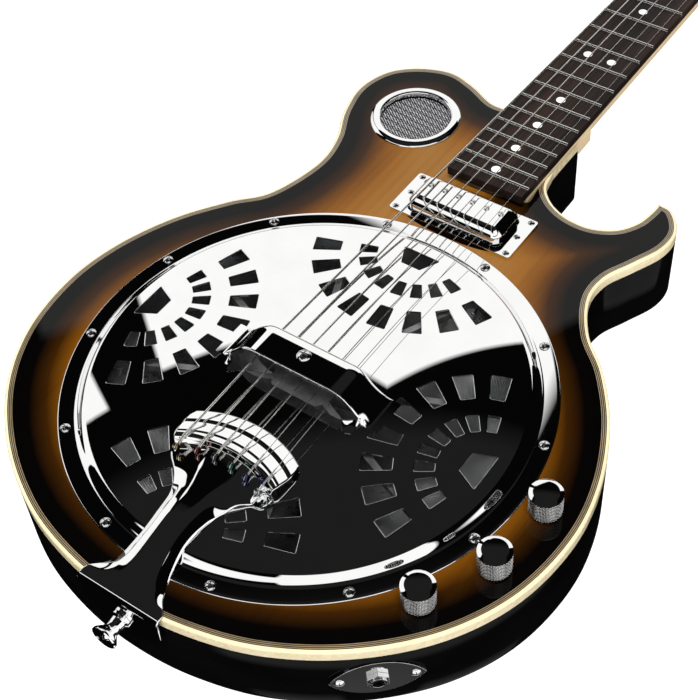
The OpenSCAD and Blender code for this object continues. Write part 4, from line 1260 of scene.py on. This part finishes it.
def tube(path, radius, count=8):
    """Points and faces of a round wire along a path."""
    points = []
    side = Vector((1, 0, 0))
    for i, p in enumerate(path):
        along = (path[min(i + 1, len(path) - 1)] - path[max(i - 1, 0)]).normalized()
        side = (side - along * side.dot(along)).normalized()
        up = along.cross(side)
        points += [p + side * q.x + up * q.y for q in circle(radius, count)]
    return points, capped(len(path), count)


def add_ball(i, middle, slot):
    """A string's coloured ball and the loop of wire round its waist."""
    half = [(2.0, 1.3), (1.7, 1.6), (0.85, 1.6)]
    profile = [(r, -z) for r, z in reversed(half)] + [(1.55, -0.55), (1.55, 0.55)] + half
    place = Matrix.Translation(middle) @ Matrix.Rotation(math.pi / 2, 4, "Y")
    stands_for = ("ball_ends",) if i == 0 else ()
    ball = turn(profile, 32, f"ball_{i + 1}", "brass", *stands_for, matrix=place)
    ball.data.materials[0] = polished_metal(f"ball_{i + 1}", BALL_COLORS[i], (0.10, 0.22), 0.2).material
    turns = [math.radians(a) for a in range(-200, 21, 20)]
    loop = [middle + 1.75 * Vector((0, math.sin(a), math.cos(a))) for a in turns]
    new_piece(f"ball_loop_{i + 1}", *tube(loop, min(GAUGES[i], 0.3) * 0.8), slot, sharp=60)


def add_twist(i, middle, slot):
    """The stretch over the tailpiece's ridge where the wire is twisted round itself."""
    steps, turns, gauge = 96, 9, GAUGES[i]
    start = middle + Vector((0, 2.0, 0.7))
    crest = Vector((middle.x, middle.y + 7.6, TOP + 16.3 + gauge))
    far = crest + (Vector((middle.x * 0.97, 0, TOP + 19.5 + gauge)) - crest).normalized() * 9
    rise, run = (crest - start).length, (far - crest).length
    for strand in range(2):
        path = []
        for t in [k / steps for k in range(steps + 1)]:
            gone = t * (rise + run)
            p = start.lerp(crest, gone / rise) if gone < rise else crest.lerp(far, (gone - rise) / run)
            a = TAU * turns * t + math.pi * strand
            swing = (gauge + 0.16) * (1 - 0.25 * t)
            path.append(p + Vector((math.cos(a) * swing, 0, math.sin(a) * swing)))
        new_piece(f"twist_{i + 1}_{strand + 1}", *tube(path, 0.19 + 0.1 * gauge, 6), slot, sharp=60)


for number, center_of_ball in enumerate(islands("ball_ends")):
    string_slot = "wound_string" if number < WOUND_STRINGS else "plain_string"
    add_ball(number, center_of_ball, string_slot)
    add_twist(number, center_of_ball, string_slot)

# ---------------- CAD nodes that keep their shape

for name_of_node in [node for node in SLOT_OF if node not in finished]:
    refine(name_of_node)

# ---------------- stage and light


def add_floor():
    """White floor that the polished metal does not mirror."""
    mesh = bpy.data.meshes.new("floor")
    mesh.from_pydata([(-6, -6, 0), (6, -6, 0), (6, 6, 0), (-6, 6, 0)], [], [(0, 1, 2, 3)])
    floor = bpy.data.objects.new("floor", mesh)
    scene.collection.objects.link(floor)
    s = Shader("floor", (0.35, 0.35, 0.35), roughness=0.9, specular_ior_level=0.1,
               emission_color=(1, 1, 1, 1), emission_strength=1.0)
    mesh.materials.append(s.material)
    floor.visible_glossy = False


def add_world():
    """Dark studio with white panels, placed by azimuth (from +X) and elevation in degrees."""
    world = bpy.data.worlds.new("studio")
    scene.world = world
    world.use_nodes = True
    tree = world.node_tree
    background = tree.nodes["Background"]

    def calc(operation, *values):
        return math_node(tree, operation, *values)

    def total(*values):
        result = values[0]
        for value in values[1:]:
            result = calc("ADD", result, value)
        return result

    def above(value, edge, soft):
        """0 below an edge and 1 above it; the edge may vary."""
        rise = calc("MULTIPLY", calc("ADD", calc("SUBTRACT", value, edge), soft), 0.5 / soft)
        return calc("MINIMUM", calc("MAXIMUM", rise, 0.0), 1.0)

    def between(value, low, high, soft=0.25):
        return calc("MULTIPLY", above(value, low, soft), calc("SUBTRACT", 1.0, above(value, high, soft)))

    def sloping(start, slope, height):
        """An edge that changes with azimuth."""
        return calc("ADD", calc("MULTIPLY", calc("SUBTRACT", azimuth, start), slope), height)

    where = tree.nodes.new("ShaderNodeTexCoord")
    split = tree.nodes.new("ShaderNodeSeparateXYZ")
    tree.links.new(where.outputs["Generated"], split.inputs[0])
    turned = calc("DEGREES", calc("ARCTAN2", split.outputs["Y"], split.outputs["X"]))
    azimuth = calc("FLOORED_MODULO", turned, 360.0)
    opposite = calc("FLOORED_MODULO", calc("ADD", turned, 180.0), 360.0)
    elevation = calc("DEGREES", calc("ARCSINE", split.outputs["Z"]))
    right_edge = calc("MAXIMUM", sloping(123.5, -0.43, 51.0), 46.0)
    upper_edge = calc("MINIMUM", sloping(109.0, 0.41, 45.0), right_edge)
    far = calc("MULTIPLY", between(azimuth, 78.0, 146.0), between(elevation, 2.0, upper_edge))
    side = calc("MULTIPLY", between(azimuth, 153.5, 200.0), between(elevation, 2.0, 47.0))
    near_low = calc("MULTIPLY", between(azimuth, 225.0, 288.0, 1.0), between(elevation, 27.0, 38.0, 0.7))
    near_high = calc("MULTIPLY", between(azimuth, 288.0, 358.0, 1.0), between(elevation, 30.0, 49.0, 0.7))
    ceiling = calc("MULTIPLY", above(elevation, 54.0, 1.5), 0.011)
    gap = calc("SUBTRACT", 1.0, calc("MULTIPLY", between(azimuth, 300.0, 332.0, 2.0), 0.96))
    below = calc("MULTIPLY", between(elevation, -82.0, -60.0, 3.0), gap)
    heights = total(between(elevation, -36.0, 27.0, 2.0), below)
    beside = calc("MULTIPLY", between(opposite, 85.0, 205.0, 3.0), heights)
    light = total(far, side, near_low, near_high, ceiling, calc("MULTIPLY", beside, 1.2), 0.0015)
    tree.links.new(calc("MULTIPLY", light, 1.08), background.inputs["Strength"])
    background.inputs["Color"].default_value = (1.0, 0.995, 0.98, 1)


def add_light(name, location, size, power, aim=(0, 0, 0.05)):
    """Soft rectangular light that shows in no reflection."""
    data = bpy.data.lights.new(name, "AREA")
    data.shape = "RECTANGLE"
    data.size, data.size_y = size
    data.energy = power
    light = bpy.data.objects.new(name, data)
    light.location = location
    light.rotation_euler = (Vector(aim) - Vector(location)).to_track_quat("-Z", "Y").to_euler()
    light.visible_glossy = False
    scene.collection.objects.link(light)


add_floor()
add_world()
add_light("overhead", (0.25, -0.35, 2.0), (1.1, 0.8), 60)
scene.view_settings.view_transform = "Standard"
